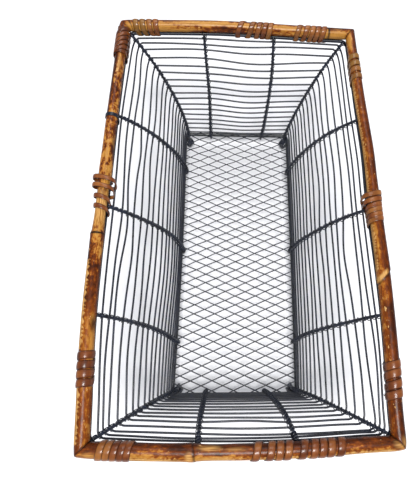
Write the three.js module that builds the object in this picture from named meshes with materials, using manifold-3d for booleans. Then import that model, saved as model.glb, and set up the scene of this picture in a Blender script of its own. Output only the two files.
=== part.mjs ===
// Hand-made wire basket with a bound bamboo rim, standing on four scrolled feet.
// Millimetres, +Z up. X runs across the basket, Y along it, and the floor under the feet is z = 0.
import * as THREE from "three";
import { mergeGeometries, mergeVertices } from "three/addons/utils/BufferGeometryUtils.js";
import Module from "manifold-3d";

// Overall sizes, between the centres of rods and poles
const BASE_WIDTH = 149;
const BASE_LENGTH = 358;
const RIM_WIDTH = 258;
const RIM_LENGTH = 428;
const WALL_HEIGHT = 150;
const BASE_CORNER_RADIUS = 8;
const RIM_ROD_CORNER_RADIUS = 8;
const POLE_CORNER_RADIUS = 9;

// Stock that the basket is made from
const POLE_DIAMETER = 13;
const RIM_ROD_DIAMETER = 4;
const BASE_ROD_DIAMETER = 5;
const RIB_DIAMETER = 3.4;
const HOOP_DIAMETER = 2;
const LASHING_DIAMETER = 1.1;
const CANE_WIDTH = 5;
const CANE_THICKNESS = 1;
const LATTICE_STRAND = 1.5;
const LATTICE_THICKNESS = 1.5;
const LATTICE_SELVEDGE = 2;

// Gaps between pieces that touch, and between the two ends of a wire ring
const SEAT = 0.3;
const BUTT_GAP = 0.5;

// Where things stand. Rib places are measured from the middle of their wall
const HOOP_COUNT = 17;
const TOP_HOOPS = 2;
const TOP_HOOP_PITCH = 4.9;
const LONG_RIB_AT_RIM = 104;
const LONG_RIB_AT_BASE = 118;
const END_RIB_AT_RIM = 39;
const END_RIB_AT_BASE = 37;
const ROD_INSET = 3.5;
const FOOT_CURL_RADIUS = 6.5;
const FOOT_CURL_OUTSIDE_RIB = 2;
const FOOT_CURL_TURN = 1.4 * Math.PI;
const FOOT_FLAT = 0.5;
const TOE_TURN = 0.75 * Math.PI;
const FLARE_SHARE = 0.1;
const FLARE_POWER = 8;
const LATTICE_CELLS_ACROSS = 5;
const LATTICE_CELLS_ALONG = 24;

// Bamboo: the scarf that joins the culm's two ends, and the swellings at its joints
const SCARF_PLACE = -8;
const SCARF_LENGTH = 45;
const KNUCKLE_SWELL = 0.7;
const KNUCKLE_LENGTH = 6;
const KNUCKLE_NEAR_POLE = -41;
const KNUCKLE_RIGHT_POLE = -78;
const KNUCKLE_LEFT_POLE = -45;

// Cane: gaps between turns, and the slack that lets slanting turns pass on both sides of a rib
const CLOSE_GAP = 0.8;
const EVEN_GAP = 2;
const OPEN_GAP = 4.5;
const STRADDLE_SLACK = 3.6;
const STRADDLE_GAP = RIB_DIAMETER + 2 * SEAT + STRADDLE_SLACK;

// How far each binding lies from the corner of the rim that is nearest to it
const FAR_LEFT_INSET = 15;
const FAR_RIGHT_INSET = 21;
const LEFT_FAR_INSET = 15;
const LEFT_NEAR_INSET = 45;
const NEAR_LEFT_INSET = 15;
const RIGHT_FAR_INSET = 24;
const RIGHT_NEAR_INSET = 34;

// Facets
const WIRE_SIDES = 5;
const RIB_HOLE_SIDES = 8;
const ROD_SIDES = 6;
const POLE_SIDES = 10;
const LASHING_SIDES = 3;
const CORNER_STEPS = 4;
const RISE_STEPS = 8;
const TOE_STEPS = 3;
const CURL_STEPS = 14;
const BINDING_POLE_STEPS = 5;
const LASHING_STEPS = 4;
const SOLVER_PASSES = 30;
const MERGE_REACH = 1e-4;

// Radii and heights that follow from the sizes above
const POLE_RADIUS = POLE_DIAMETER / 2;
const RIM_ROD_RADIUS = RIM_ROD_DIAMETER / 2;
const BASE_ROD_RADIUS = BASE_ROD_DIAMETER / 2;
const RIB_RADIUS = RIB_DIAMETER / 2;
const HOOP_RADIUS = HOOP_DIAMETER / 2;
const LASHING_RADIUS = LASHING_DIAMETER / 2;
const RIB_INSIDE_BASE = BASE_ROD_RADIUS + SEAT + RIB_RADIUS;
const RIB_INSIDE_RIM = RIM_ROD_RADIUS + SEAT + RIB_RADIUS;
const HOOP_OFFSET = RIB_RADIUS + SEAT + HOOP_RADIUS;
const ROD_TO_POLE = POLE_RADIUS + KNUCKLE_SWELL + SEAT + RIM_ROD_RADIUS;
const ROD_DROP = Math.sqrt(ROD_TO_POLE ** 2 - ROD_INSET ** 2);
const FOOT_CENTRE_Z = FOOT_CURL_RADIUS + RIB_RADIUS - FOOT_FLAT;
const BASE_Z = FOOT_CENTRE_Z + FOOT_CURL_RADIUS + RIB_RADIUS + SEAT + BASE_ROD_RADIUS;
const POLE_Z = BASE_Z + WALL_HEIGHT;
const ROD_Z = POLE_Z - ROD_DROP;
const DIAGONAL = Math.SQRT1_2;
const CORNER_CUT = Math.SQRT2 - 1;

const wasm = await Module();
wasm.setup();

const wireMaterial = new THREE.MeshStandardMaterial({ color: 0x1b1d20, roughness: 0.5, metalness: 0.7 });
const bambooMaterial = new THREE.MeshStandardMaterial({ color: 0xa8682a, roughness: 0.35, metalness: 0 });
const caneMaterial = new THREE.MeshStandardMaterial({ color: 0x8b4420, roughness: 0.4, metalness: 0 });

const basket = new THREE.Group();

// A path that is sampled exactly at its stations, so corners keep their points.
// Each station may carry its own frame: the section's x follows normal and its y follows binormal.
class StationPath extends THREE.Curve {
  constructor(points, reshape = null) {
    super();
    this.points = points;
    this.reshape = reshape;
  }

  stationAt(share) {
    return Math.round(share * (this.points.length - 1));
  }

  getPointAt(share, target = new THREE.Vector3()) {
    return target.copy(this.points[this.stationAt(share)]);
  }

  getTangentAt(share, target = new THREE.Vector3()) {
    const station = this.stationAt(share);
    const here = this.points[station];
    const before = this.points[station - 1];
    const after = this.points[station + 1];
    target.set(0, 0, 0);
    if (before) target.add(here.clone().sub(before).normalize());
    if (after) target.add(after.clone().sub(here).normalize());
    return target.normalize();
  }

  computeFrenetFrames(segments, closed) {
    const frames = super.computeFrenetFrames(segments, closed);
    if (this.reshape) this.reshape(frames);
    return frames;
  }
}

// Joins a geometry's shared corners and turns its faces outwards
function closedBody(geometry) {
  geometry.deleteAttribute("normal");
  geometry.deleteAttribute("uv");
  const body = mergeVertices(geometry, MERGE_REACH);
  const position = body.getAttribute("position");
  const index = body.getIndex();
  const corners = [new THREE.Vector3(), new THREE.Vector3(), new THREE.Vector3()];
  let volume = 0;
  for (let face = 0; face < index.count; face += 3) {
    corners.forEach((corner, k) => corner.fromBufferAttribute(position, index.getX(face + k)));
    volume += corners[0].dot(corners[1].clone().cross(corners[2]));
  }
  if (volume < 0) index.array.reverse();
  return body;
}

function roundSection(radius, sides) {
  const turn = (2 * Math.PI) / sides;
  const corners = Array.from({ length: sides }, (_, k) => [Math.cos(k * turn), Math.sin(k * turn)]);
  return new THREE.Shape(corners.map(([x, y]) => new THREE.Vector2(radius * x, radius * y)));
}

function sweep(section, points, reshape) {
  const extrudePath = new StationPath(points, reshape);
  return closedBody(new THREE.ExtrudeGeometry(section, { steps: points.length - 1, extrudePath }));
}

function addPiece(name, geometry, material) {
  geometry.computeVertexNormals();
  const mesh = new THREE.Mesh(geometry, material);
  mesh.name = name;
  basket.add(mesh);
}

function toManifold(geometry) {
  const vertProperties = new Float32Array(geometry.getAttribute("position").array);
  const triVerts = new Uint32Array(geometry.getIndex().array);
  return new wasm.Manifold(new wasm.Mesh({ numProp: 3, vertProperties, triVerts }));
}

function cutAway(body, tool) {
  const cut = toManifold(body).subtract(toManifold(closedBody(tool))).getMesh();
  const left = new THREE.BufferGeometry();
  left.setAttribute("position", new THREE.BufferAttribute(new Float32Array(cut.vertProperties), 3));
  left.setIndex(new THREE.BufferAttribute(new Uint32Array(cut.triVerts), 1));
  return left;
}

// Grinds away what lies below the floor
function flattenFoot(body) {
  const depth = FOOT_CURL_RADIUS;
  const block = new THREE.BoxGeometry(2 * RIM_WIDTH, 2 * RIM_LENGTH, depth);
  return cutAway(body, block.translate(0, 0, -depth / 2));
}

// Least gap of a winding to itself, from its stations: turns more than half a turn apart
function reportLeastGap(name, points, stationsPerTurn, thickness) {
  let least = Infinity;
  points.forEach((point, k) => {
    points.slice(k + Math.ceil(stationsPerTurn / 2)).forEach((other) => {
      least = Math.min(least, point.distanceTo(other) - thickness);
    });
  });
  console.log(`${name}: least gap to itself ${least.toFixed(2)} mm`);
}

// The side view of a wall's ribs: straight up inside the base rod, then bowing out as a parabola that
// flares faster under the rim, until the rib lies against the inside of the rim rod.
class WallProfile {
  constructor(baseHalf, rimHalf) {
    this.baseHalf = baseHalf;
    this.rimHalf = rimHalf;
    this.foot = baseHalf - RIB_INSIDE_BASE;
    this.topLean = 0;
    for (let pass = 0; pass < SOLVER_PASSES; pass += 1) {
      this.top = rimHalf - RIB_INSIDE_RIM * Math.cos(this.topLean);
      this.topZ = ROD_Z + RIB_INSIDE_RIM * Math.sin(this.topLean);
      this.topLean = this.lean(this.topZ);
    }
  }

  out(z) {
    const rise = (z - BASE_Z) / (this.topZ - BASE_Z);
    const bowed = (1 - FLARE_SHARE) * rise ** 2 + FLARE_SHARE * rise ** FLARE_POWER;
    return this.foot + (this.top - this.foot) * bowed;
  }

  lean(z) {
    const height = this.topZ - BASE_Z;
    const rise = (z - BASE_Z) / height;
    const slope = 2 * (1 - FLARE_SHARE) * rise + FLARE_POWER * FLARE_SHARE * rise ** (FLARE_POWER - 1);
    return Math.atan(((this.top - this.foot) * slope) / height);
  }

  // Height on the rib that faces a wire lying outside it at height z
  facing(z) {
    let height = z;
    for (let pass = 0; pass < SOLVER_PASSES; pass += 1) {
      height = z + HOOP_OFFSET * Math.sin(this.lean(height));
    }
    return height;
  }

  hoopOut(z) {
    const height = this.facing(z);
    return this.out(height) + HOOP_OFFSET * Math.cos(this.lean(height));
  }
}

const rodHalfWidth = RIM_WIDTH / 2 - ROD_INSET;
const rodHalfLength = RIM_LENGTH / 2 - ROD_INSET;
const longProfile = new WallProfile(BASE_WIDTH / 2, rodHalfWidth);
const endProfile = new WallProfile(BASE_LENGTH / 2, rodHalfLength);
const cornerProfile = new WallProfile(
  (BASE_WIDTH + BASE_LENGTH) / 2 * DIAGONAL - BASE_CORNER_RADIUS * CORNER_CUT,
  (rodHalfWidth + rodHalfLength) * DIAGONAL - RIM_ROD_CORNER_RADIUS * CORNER_CUT,
);

// Each wall and corner, with the way out of the basket and the way along the wall
function side(x, y, profile, poleHalf, poleLength) {
  const out = new THREE.Vector3(x, y, 0).normalize();
  const isCorner = x !== 0 && y !== 0;
  const along = isCorner ? new THREE.Vector3(x, -y, 0) : new THREE.Vector3(Math.abs(y), Math.abs(x), 0);
  return { out, along: along.normalize(), profile, poleHalf, poleLength };
}

const walls = {
  left: side(-1, 0, longProfile, RIM_WIDTH / 2, RIM_LENGTH),
  right: side(1, 0, longProfile, RIM_WIDTH / 2, RIM_LENGTH),
  far: side(0, 1, endProfile, RIM_LENGTH / 2, RIM_WIDTH),
  near: side(0, -1, endProfile, RIM_LENGTH / 2, RIM_WIDTH),
};
const corners = {
  far_left: side(-1, 1, cornerProfile),
  far_right: side(1, 1, cornerProfile),
  near_left: side(-1, -1, cornerProfile),
  near_right: side(1, -1, cornerProfile),
};

function place({ out, along }, outward, sideways, z) {
  return new THREE.Vector3(0, 0, z).addScaledVector(out, outward).addScaledVector(along, sideways);
}

// A ring of wire with round corners, level at height z. Its ends butt on the left wall
function ringPoints(halfWidth, halfLength, z, radius, seam, gap) {
  const points = [new THREE.Vector3(-halfWidth, seam + gap / 2, z)];
  const turns = [[-1, 1], [1, 1], [1, -1], [-1, -1]];
  turns.forEach(([wayX, wayY], corner) => {
    for (let step = 0; step <= CORNER_STEPS; step += 1) {
      const angle = Math.PI - (Math.PI / 2) * (corner + step / CORNER_STEPS);
      const centreX = wayX * (halfWidth - radius);
      const centreY = wayY * (halfLength - radius);
      const x = centreX + radius * Math.cos(angle);
      const y = centreY + radius * Math.sin(angle);
      points.push(new THREE.Vector3(x, y, z));
    }
  });
  points.push(new THREE.Vector3(-halfWidth, seam - gap / 2, z));
  return points;
}

function addBaseFrame() {
  const points = ringPoints(BASE_WIDTH / 2, BASE_LENGTH / 2, BASE_Z, BASE_CORNER_RADIUS, 0, BUTT_GAP);
  addPiece("base_frame", sweep(roundSection(BASE_ROD_RADIUS, ROD_SIDES), points), wireMaterial);
}

function addRimRod() {
  const points = ringPoints(rodHalfWidth, rodHalfLength, ROD_Z, RIM_ROD_CORNER_RADIUS, 0, BUTT_GAP);
  addPiece("rim_rod", sweep(roundSection(RIM_ROD_RADIUS, ROD_SIDES), points), wireMaterial);
}

// The hoops are evenly spaced up to the last two, which lie closer together under the rim rod
const evenHoops = HOOP_COUNT - TOP_HOOPS;
const hoopHeights = Array.from({ length: HOOP_COUNT }, (_, k) => {
  const evenRise = ROD_Z - BASE_Z - (TOP_HOOPS + 1) * TOP_HOOP_PITCH;
  const beyond = Math.max(0, k + 1 - evenHoops);
  return BASE_Z + (evenRise * Math.min(k + 1, evenHoops)) / evenHoops + beyond * TOP_HOOP_PITCH;
});

// A hoop lies against the outside of every rib, and its corners are bent round the corner ribs
function addHoop(z, number) {
  const halfWidth = longProfile.hoopOut(z);
  const halfLength = endProfile.hoopOut(z);
  const radius = ((halfWidth + halfLength) * DIAGONAL - cornerProfile.hoopOut(z)) / CORNER_CUT;
  const points = ringPoints(halfWidth, halfLength, z, radius, 0, BUTT_GAP);
  const name = `hoop_${String(number).padStart(2, "0")}`;
  addPiece(name, sweep(roundSection(HOOP_RADIUS, WIRE_SIDES), points), wireMaterial);
}

// A rib on a straight wall leans along it from its place on the base frame to its place at the rim
function wallRib(name, wall, atBase, atRim) {
  const sideways = (z) => {
    const share = THREE.MathUtils.clamp((z - BASE_Z) / (ROD_Z - BASE_Z), 0, 1);
    return THREE.MathUtils.lerp(atBase, atRim, share);
  };
  return { name, wall, sideways, footed: false };
}

// A corner rib follows the bend of the hoops
function cornerRib(name, corner) {
  const sideways = (z) => {
    const height = THREE.MathUtils.clamp(z, BASE_Z, Math.min(longProfile.topZ, endProfile.topZ));
    return (longProfile.out(height) - endProfile.out(height)) * DIAGONAL;
  };
  return { name, wall: corner, sideways, footed: true };
}

function ribPoint({ wall, sideways }, outward, z) {
  return place(wall, outward, sideways(z), z);
}

// Stations on an arc in a rib's own plane, from one angle to another, measured up from the way out
function ribArc(rib, centre, centreZ, radius, from, to, steps) {
  return Array.from({ length: steps + 1 }, (_, k) => {
    const angle = from + ((to - from) * k) / steps;
    return ribPoint(rib, centre + radius * Math.cos(angle), centreZ + radius * Math.sin(angle));
  });
}

// A corner rib slants in under the base and ends in a scroll that it stands on.
// A wall rib ends in a toe that is hooked under the base rod.
function addRib(rib) {
  const { baseHalf, foot, topZ } = rib.wall.profile;
  const inside = Math.PI;
  const curlFrom = inside + FOOT_CURL_TURN;
  const toeFrom = inside + TOE_TURN;
  const curlCentre = foot + FOOT_CURL_OUTSIDE_RIB;
  const lower = rib.footed
    ? ribArc(rib, curlCentre, FOOT_CENTRE_Z, FOOT_CURL_RADIUS, curlFrom, inside, CURL_STEPS)
    : ribArc(rib, baseHalf, BASE_Z, RIB_INSIDE_BASE, toeFrom, inside, TOE_STEPS).slice(0, -1);
  const rise = Array.from({ length: RISE_STEPS + 1 }, (_, k) => {
    const z = BASE_Z + ((topZ - BASE_Z) * k) / RISE_STEPS;
    return ribPoint(rib, rib.wall.profile.out(z), z);
  });
  const body = sweep(roundSection(RIB_RADIUS, WIRE_SIDES), [...lower, ...rise]);
  addPiece(rib.name, rib.footed ? flattenFoot(body) : body, wireMaterial);
}

// A tie wire winds up the rib. At every second hoop it crosses over the hoop on the outside of the wall
// and then back over the rib on the inside. Neighbouring ribs take the other hoops.
function addLashing(rib, ribNumber) {
  const { profile, out, along } = rib.wall;
  const beside = RIB_RADIUS + SEAT + LASHING_RADIUS;
  const pastHoop = HOOP_RADIUS + SEAT + LASHING_RADIUS;
  const outer = HOOP_OFFSET + pastHoop;
  const tail = pastHoop + LASHING_DIAMETER;
  const points = [];
  const tied = hoopHeights.filter((_, k) => (k + ribNumber) % 2 === 0);
  tied.forEach((hoopZ, k) => {
    const z = profile.facing(hoopZ);
    const lean = profile.lean(z);
    const centre = ribPoint(rib, profile.out(z), z);
    const up = ribPoint(rib, profile.out(z + SEAT), z + SEAT).sub(centre).normalize();
    const normal = new THREE.Vector3(0, 0, -Math.sin(lean)).addScaledVector(out, Math.cos(lean));
    const station = (rise, outward, sideways) => {
      const point = centre.clone().addScaledVector(up, rise).addScaledVector(normal, outward);
      return point.addScaledVector(along, sideways);
    };
    if (k === 0) points.push(station(-tail, -beside, -beside));
    points.push(station(-pastHoop, -beside, -beside), station(-pastHoop, outer, -beside));
    points.push(station(pastHoop, outer, beside), station(pastHoop, -beside, beside));
    if (k === tied.length - 1) points.push(station(tail, -beside, beside));
  });
  const name = rib.name.replace("rib", "lashing");
  addPiece(name, sweep(roundSection(LASHING_RADIUS, LASHING_SIDES), points), wireMaterial);
  reportLeastGap(name, points, LASHING_STEPS, LASHING_DIAMETER);
}

// One culm runs all round, folded at the corners and scarfed on the left pole
function addBambooRim() {
  const ring = ringPoints(RIM_WIDTH / 2, RIM_LENGTH / 2, POLE_Z, POLE_CORNER_RADIUS, SCARF_PLACE, SEAT);
  const knuckles = [
    place(walls.right, RIM_WIDTH / 2, KNUCKLE_RIGHT_POLE, POLE_Z),
    place(walls.near, RIM_LENGTH / 2, KNUCKLE_NEAR_POLE, POLE_Z),
    place(walls.left, RIM_WIDTH / 2, KNUCKLE_LEFT_POLE, POLE_Z),
  ];
  const points = [];
  const swells = [];
  ring.forEach((point, k) => {
    points.push(point);
    swells.push(1);
    const next = ring[k + 1];
    if (!next) return;
    const run = next.clone().sub(point);
    const way = run.clone().normalize();
    knuckles.forEach((knuckle) => {
      const reach = knuckle.clone().sub(point);
      const ahead = reach.dot(way);
      if (ahead < 0 || ahead > run.length() || reach.addScaledVector(way, -ahead).length() > SEAT) return;
      [-KNUCKLE_LENGTH / 2, 0, KNUCKLE_LENGTH / 2].forEach((shift) => {
        points.push(knuckle.clone().addScaledVector(way, shift));
        swells.push(shift ? 1 : 1 + KNUCKLE_SWELL / POLE_RADIUS);
      });
    });
  });
  const reshape = ({ tangents, normals, binormals }) => {
    swells.forEach((swell, k) => {
      normals[k].multiplyScalar(swell);
      binormals[k].multiplyScalar(swell);
    });
    [0, swells.length - 1].forEach((end) => {
      binormals[end].addScaledVector(tangents[end], SCARF_LENGTH / POLE_DIAMETER);
    });
  };
  addPiece("bamboo_rim", sweep(roundSection(POLE_RADIUS, POLE_SIDES), points, reshape), bambooMaterial);
}

// One turn of cane as angles, round the pole and the rim rod together.
// A station's radius is stretched so that the strip's flats clear what they wrap.
function bindingTurn() {
  const overPole = POLE_RADIUS + SEAT + CANE_THICKNESS / 2;
  const overRod = RIM_ROD_RADIUS + SEAT + CANE_THICKNESS / 2;
  const wrap = Math.acos((overRod - overPole) / ROD_TO_POLE);
  const step = (2 * wrap) / BINDING_POLE_STEPS;
  const rodRadius = overRod / Math.cos((Math.PI - wrap) / 2);
  const poleRadius = overPole / Math.cos(step / 2);
  const pole = Array.from({ length: BINDING_POLE_STEPS + 1 }, (_, k) => {
    return { angle: -wrap + k * step, radius: poleRadius, onRod: false };
  });
  return [
    { angle: -Math.PI, radius: rodRadius, onRod: true },
    { angle: -wrap, radius: rodRadius, onRod: true },
    ...pole,
    { angle: wrap, radius: rodRadius, onRod: true },
  ];
}

// Split cane wound along a pole, from a place measured from the middle of the pole
function addBinding(name, wall, from, turns, pitch) {
  const turn = bindingTurn();
  const rodToPoleAngle = Math.atan2(ROD_DROP, ROD_INSET);
  const points = [];
  const normals = [];
  for (let k = 0; k <= turns * turn.length; k += 1) {
    const { angle, radius, onRod } = turn[k % turn.length];
    const heading = rodToPoleAngle + angle;
    const outward = wall.poleHalf - (onRod ? ROD_INSET : 0) + radius * Math.cos(heading);
    const z = (onRod ? ROD_Z : POLE_Z) + radius * Math.sin(heading);
    points.push(place(wall, outward, from + (pitch * k) / turn.length, z));
    normals.push(place(wall, Math.cos(heading), 0, Math.sin(heading)));
  }
  const reshape = (frames) => {
    frames.normals = normals;
    frames.binormals = normals.map(() => wall.along.clone());
  };
  const halfThickness = CANE_THICKNESS / 2;
  const halfWidth = CANE_WIDTH / 2;
  const section = new THREE.Shape([
    new THREE.Vector2(-halfThickness, -halfWidth),
    new THREE.Vector2(halfThickness, -halfWidth),
    new THREE.Vector2(halfThickness, halfWidth),
    new THREE.Vector2(-halfThickness, halfWidth),
  ]);
  addPiece(name, sweep(section, points, reshape), caneMaterial);
  reportLeastGap(name, points, turn.length, CANE_WIDTH);
}

// Keeps the part of a convex outline on one side of a line: normal . point <= limit
function clipOutline(outline, normal, limit) {
  const kept = [];
  outline.forEach((point, k) => {
    const next = outline[(k + 1) % outline.length];
    const here = normal.dot(point) - limit;
    const there = normal.dot(next) - limit;
    if (here <= 0) kept.push(point);
    if (here * there < 0) kept.push(point.clone().lerp(next, here / (here - there)));
  });
  return kept.filter((point, k) => point.distanceTo(kept[(k + 1) % kept.length]) > SEAT);
}

// A flat plate of an outline, with z = 0 halfway through its thickness
function slab(outline, thickness) {
  const plate = new THREE.ExtrudeGeometry(outline, { depth: thickness, bevelEnabled: false });
  return plate.translate(0, 0, -thickness / 2);
}

// Diamond lattice cut through a flat sheet that lies on the base frame, with a selvedge over the rods
// and a hole round every rib that passes through it
function addBaseLattice(ribs) {
  const edgeWidth = BASE_WIDTH / 2 + LATTICE_SELVEDGE / 2;
  const edgeLength = BASE_LENGTH / 2 + LATTICE_SELVEDGE / 2;
  const radius = BASE_CORNER_RADIUS + LATTICE_SELVEDGE / 2;
  const outline = ringPoints(edgeWidth, edgeLength, 0, radius, 0, 0).slice(1, -1);
  const sheet = new THREE.Shape(outline.map(({ x, y }) => new THREE.Vector2(x, y)));
  const openWidth = edgeWidth - LATTICE_SELVEDGE;
  const openLength = edgeLength - LATTICE_SELVEDGE;
  const halfCellWidth = openWidth / LATTICE_CELLS_ACROSS;
  const halfCellLength = openLength / LATTICE_CELLS_ALONG;
  const diagonal = Math.hypot(halfCellWidth, halfCellLength);
  const openShare = 1 - (LATTICE_STRAND / 2) * diagonal / (halfCellWidth * halfCellLength);
  const limits = [
    [new THREE.Vector2(1, 0), openWidth],
    [new THREE.Vector2(-1, 0), openWidth],
    [new THREE.Vector2(0, 1), openLength],
    [new THREE.Vector2(0, -1), openLength],
  ];
  const cornerLimit = (openWidth + openLength) * DIAGONAL - (radius - LATTICE_SELVEDGE) * CORNER_CUT;
  Object.values(corners).forEach(({ out }) => limits.push([new THREE.Vector2(out.x, out.y), cornerLimit]));
  const cutDepth = 2 * LATTICE_THICKNESS;
  const openings = [];
  for (let column = -LATTICE_CELLS_ACROSS; column <= LATTICE_CELLS_ACROSS; column += 1) {
    for (let row = -LATTICE_CELLS_ALONG; row <= LATTICE_CELLS_ALONG; row += 1) {
      if ((column + row) % 2 === 0) continue;
      const centre = new THREE.Vector2(column * halfCellWidth, row * halfCellLength);
      const reachX = new THREE.Vector2(halfCellWidth * openShare, 0);
      const reachY = new THREE.Vector2(0, halfCellLength * openShare);
      const diamond = [
        centre.clone().add(reachX),
        centre.clone().add(reachY),
        centre.clone().sub(reachX),
        centre.clone().sub(reachY),
      ];
      const hole = limits.reduce((shape, [normal, limit]) => clipOutline(shape, normal, limit), diamond);
      const roomy = hole.length > 2 && Math.abs(THREE.ShapeUtils.area(hole)) > LATTICE_STRAND ** 2;
      if (roomy) openings.push(slab(new THREE.Shape(hole), cutDepth));
    }
  }
  const lift = BASE_Z + BASE_ROD_RADIUS + SEAT + LATTICE_THICKNESS / 2;
  const holeRadius = (RIB_RADIUS + SEAT) / Math.cos(Math.PI / RIB_HOLE_SIDES);
  const ribHoles = ribs.map((rib) => {
    const { x, y } = ribPoint(rib, rib.wall.profile.out(lift), lift);
    return slab(roundSection(holeRadius, RIB_HOLE_SIDES), cutDepth).translate(x, y, 0);
  });
  const mesh = cutAway(closedBody(slab(sheet, LATTICE_THICKNESS)), mergeGeometries(openings));
  const lattice = cutAway(mesh, mergeGeometries(ribHoles));
  addPiece("base_lattice", lattice.translate(0, 0, lift), wireMaterial);
  console.log(`base_lattice: ${openings.length} gaps`);
}

const ribs = Object.entries(corners).map(([name, corner]) => cornerRib(`rib_corner_${name}`, corner));
["left", "right"].forEach((wall) => {
  [["far", 1], ["mid", 0], ["near", -1]].forEach(([name, way]) => {
    ribs.push(wallRib(`rib_${wall}_${name}`, walls[wall], way * LONG_RIB_AT_BASE, way * LONG_RIB_AT_RIM));
  });
});
["far", "near"].forEach((wall) => {
  [["left", -1], ["right", 1]].forEach(([name, way]) => {
    ribs.push(wallRib(`rib_${wall}_${name}`, walls[wall], way * END_RIB_AT_BASE, way * END_RIB_AT_RIM));
  });
});

// The frame of the basket
addBaseFrame();
addBaseLattice(ribs);
addRimRod();
addBambooRim();
hoopHeights.forEach((z, k) => addHoop(z, k + 1));
ribs.forEach((rib, k) => {
  addRib(rib);
  addLashing(rib, k);
});

// Where a binding starts along its pole, given the length that its turns take
function afterCorner(wall, inset) {
  return () => inset - wall.poleLength / 2;
}

function beforeCorner(wall, inset) {
  return (length) => wall.poleLength / 2 - inset - length;
}

function beforeRib(ribPlace) {
  return (length) => ribPlace - RIB_RADIUS - CANE_WIDTH - length;
}

// The rib stands halfway between two turns, with some whole turns before it
function astrideRib(ribPlace, turnsBefore) {
  return () => ribPlace - (turnsBefore + 1 / 2) * (CANE_WIDTH + STRADDLE_GAP);
}

const { left, right, far, near } = walls;
const bindings = {
  far_left: { wall: far, turns: 4, gap: CLOSE_GAP, start: afterCorner(far, FAR_LEFT_INSET) },
  far_mid: { wall: far, turns: 4, gap: EVEN_GAP, start: beforeRib(END_RIB_AT_RIM) },
  far_right: { wall: far, turns: 5, gap: EVEN_GAP, start: beforeCorner(far, FAR_RIGHT_INSET) },
  left_far: { wall: left, turns: 5, gap: CLOSE_GAP, start: beforeCorner(left, LEFT_FAR_INSET) },
  left_mid: { wall: left, turns: 4, gap: STRADDLE_GAP, start: astrideRib(0, 1) },
  left_near: { wall: left, turns: 3, gap: OPEN_GAP, start: afterCorner(left, LEFT_NEAR_INSET) },
  near_left: { wall: near, turns: 4, gap: CLOSE_GAP, start: afterCorner(near, NEAR_LEFT_INSET) },
  near_right: { wall: near, turns: 6, gap: STRADDLE_GAP, start: astrideRib(END_RIB_AT_RIM, 2) },
  right_far: { wall: right, turns: 4, gap: OPEN_GAP, start: beforeCorner(right, RIGHT_FAR_INSET) },
  right_mid: { wall: right, turns: 3, gap: STRADDLE_GAP, start: astrideRib(0, 1) },
  right_near: { wall: right, turns: 4, gap: EVEN_GAP, start: afterCorner(right, RIGHT_NEAR_INSET) },
};
Object.entries(bindings).forEach(([name, { wall, turns, gap, start }]) => {
  const pitch = CANE_WIDTH + gap;
  addBinding(`binding_${name}`, wall, start(turns * pitch), turns, pitch);
});

export default basket;
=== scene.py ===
"""Dress the wire basket: lashed black wire walls, a scorched bamboo rim and split cane bindings.

Sizes are millimetres until a mesh is made, because wire, culms and cane are gauged in millimetres.
X runs across the basket, Y along it and Z up from the floor under its feet.
"""
import logging
import math
from dataclasses import dataclass, field
from enum import Enum
from functools import partial

import bpy
import numpy as np
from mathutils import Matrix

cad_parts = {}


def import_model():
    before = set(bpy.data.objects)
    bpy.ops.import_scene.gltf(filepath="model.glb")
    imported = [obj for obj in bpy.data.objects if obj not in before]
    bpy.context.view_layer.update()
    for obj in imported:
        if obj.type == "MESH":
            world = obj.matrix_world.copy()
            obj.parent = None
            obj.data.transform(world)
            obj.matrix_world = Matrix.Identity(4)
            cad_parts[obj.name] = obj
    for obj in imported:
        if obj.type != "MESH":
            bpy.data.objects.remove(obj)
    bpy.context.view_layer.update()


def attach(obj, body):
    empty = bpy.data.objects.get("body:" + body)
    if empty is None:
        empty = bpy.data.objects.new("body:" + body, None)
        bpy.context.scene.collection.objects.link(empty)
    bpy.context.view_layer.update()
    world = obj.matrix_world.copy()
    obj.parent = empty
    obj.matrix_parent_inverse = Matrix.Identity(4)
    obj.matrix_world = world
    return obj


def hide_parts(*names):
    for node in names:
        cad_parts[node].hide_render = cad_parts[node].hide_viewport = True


log = logging.getLogger("wire_basket")

Array = np.ndarray
MM = 0.001
BODY = "root"
UP = np.array([0.0, 0.0, 1.0])


class Slot(Enum):
    """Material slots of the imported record."""

    WIRE = "black_wire"
    BAMBOO = "scorched_bamboo"
    CANE = "split_cane"


class Wall(Enum):
    """The four walls, each with its way out of the basket."""

    LEFT = (-1, 0)
    FAR = (0, 1)
    RIGHT = (1, 0)
    NEAR = (0, -1)

    @property
    def out(self) -> Array:
        """Unit vector that points out of the basket."""
        return np.array([*self.value, 0.0])

    @property
    def along(self) -> Array:
        """Unit vector along the wall, towards +X or +Y."""
        x, y = self.value
        return np.array([abs(y), abs(x), 0.0])

    @property
    def is_long(self) -> bool:
        """Whether this is one of the two long walls."""
        return self.value[0] != 0


class Mark(Enum):
    """What fire, knife and age left on the culm; the bare wood mark also lays on a painted highlight."""

    RED = "red"
    CHAR = "char"
    BARE = "bare"
    CHIP = "chip"


def linear(hex_colour: str) -> tuple[float, float, float, float]:
    """Turn an sRGB hex colour into linear light.

    Args:
        hex_colour: Six hex digits after a hash.

    Returns:
        Linear red, green, blue and an alpha of one.
    """
    channels = np.array([int(hex_colour[k:k + 2], 16) for k in (1, 3, 5)]) / 255
    low = channels / 12.92
    high = ((channels + 0.055) / 1.055) ** 2.4
    return (*(float(c) for c in np.where(channels <= 0.04045, low, high)), 1.0)


def unit(vectors: Array) -> Array:
    """Scale vectors to a length of one."""
    return vectors / np.linalg.norm(vectors, axis=-1, keepdims=True)


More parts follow.
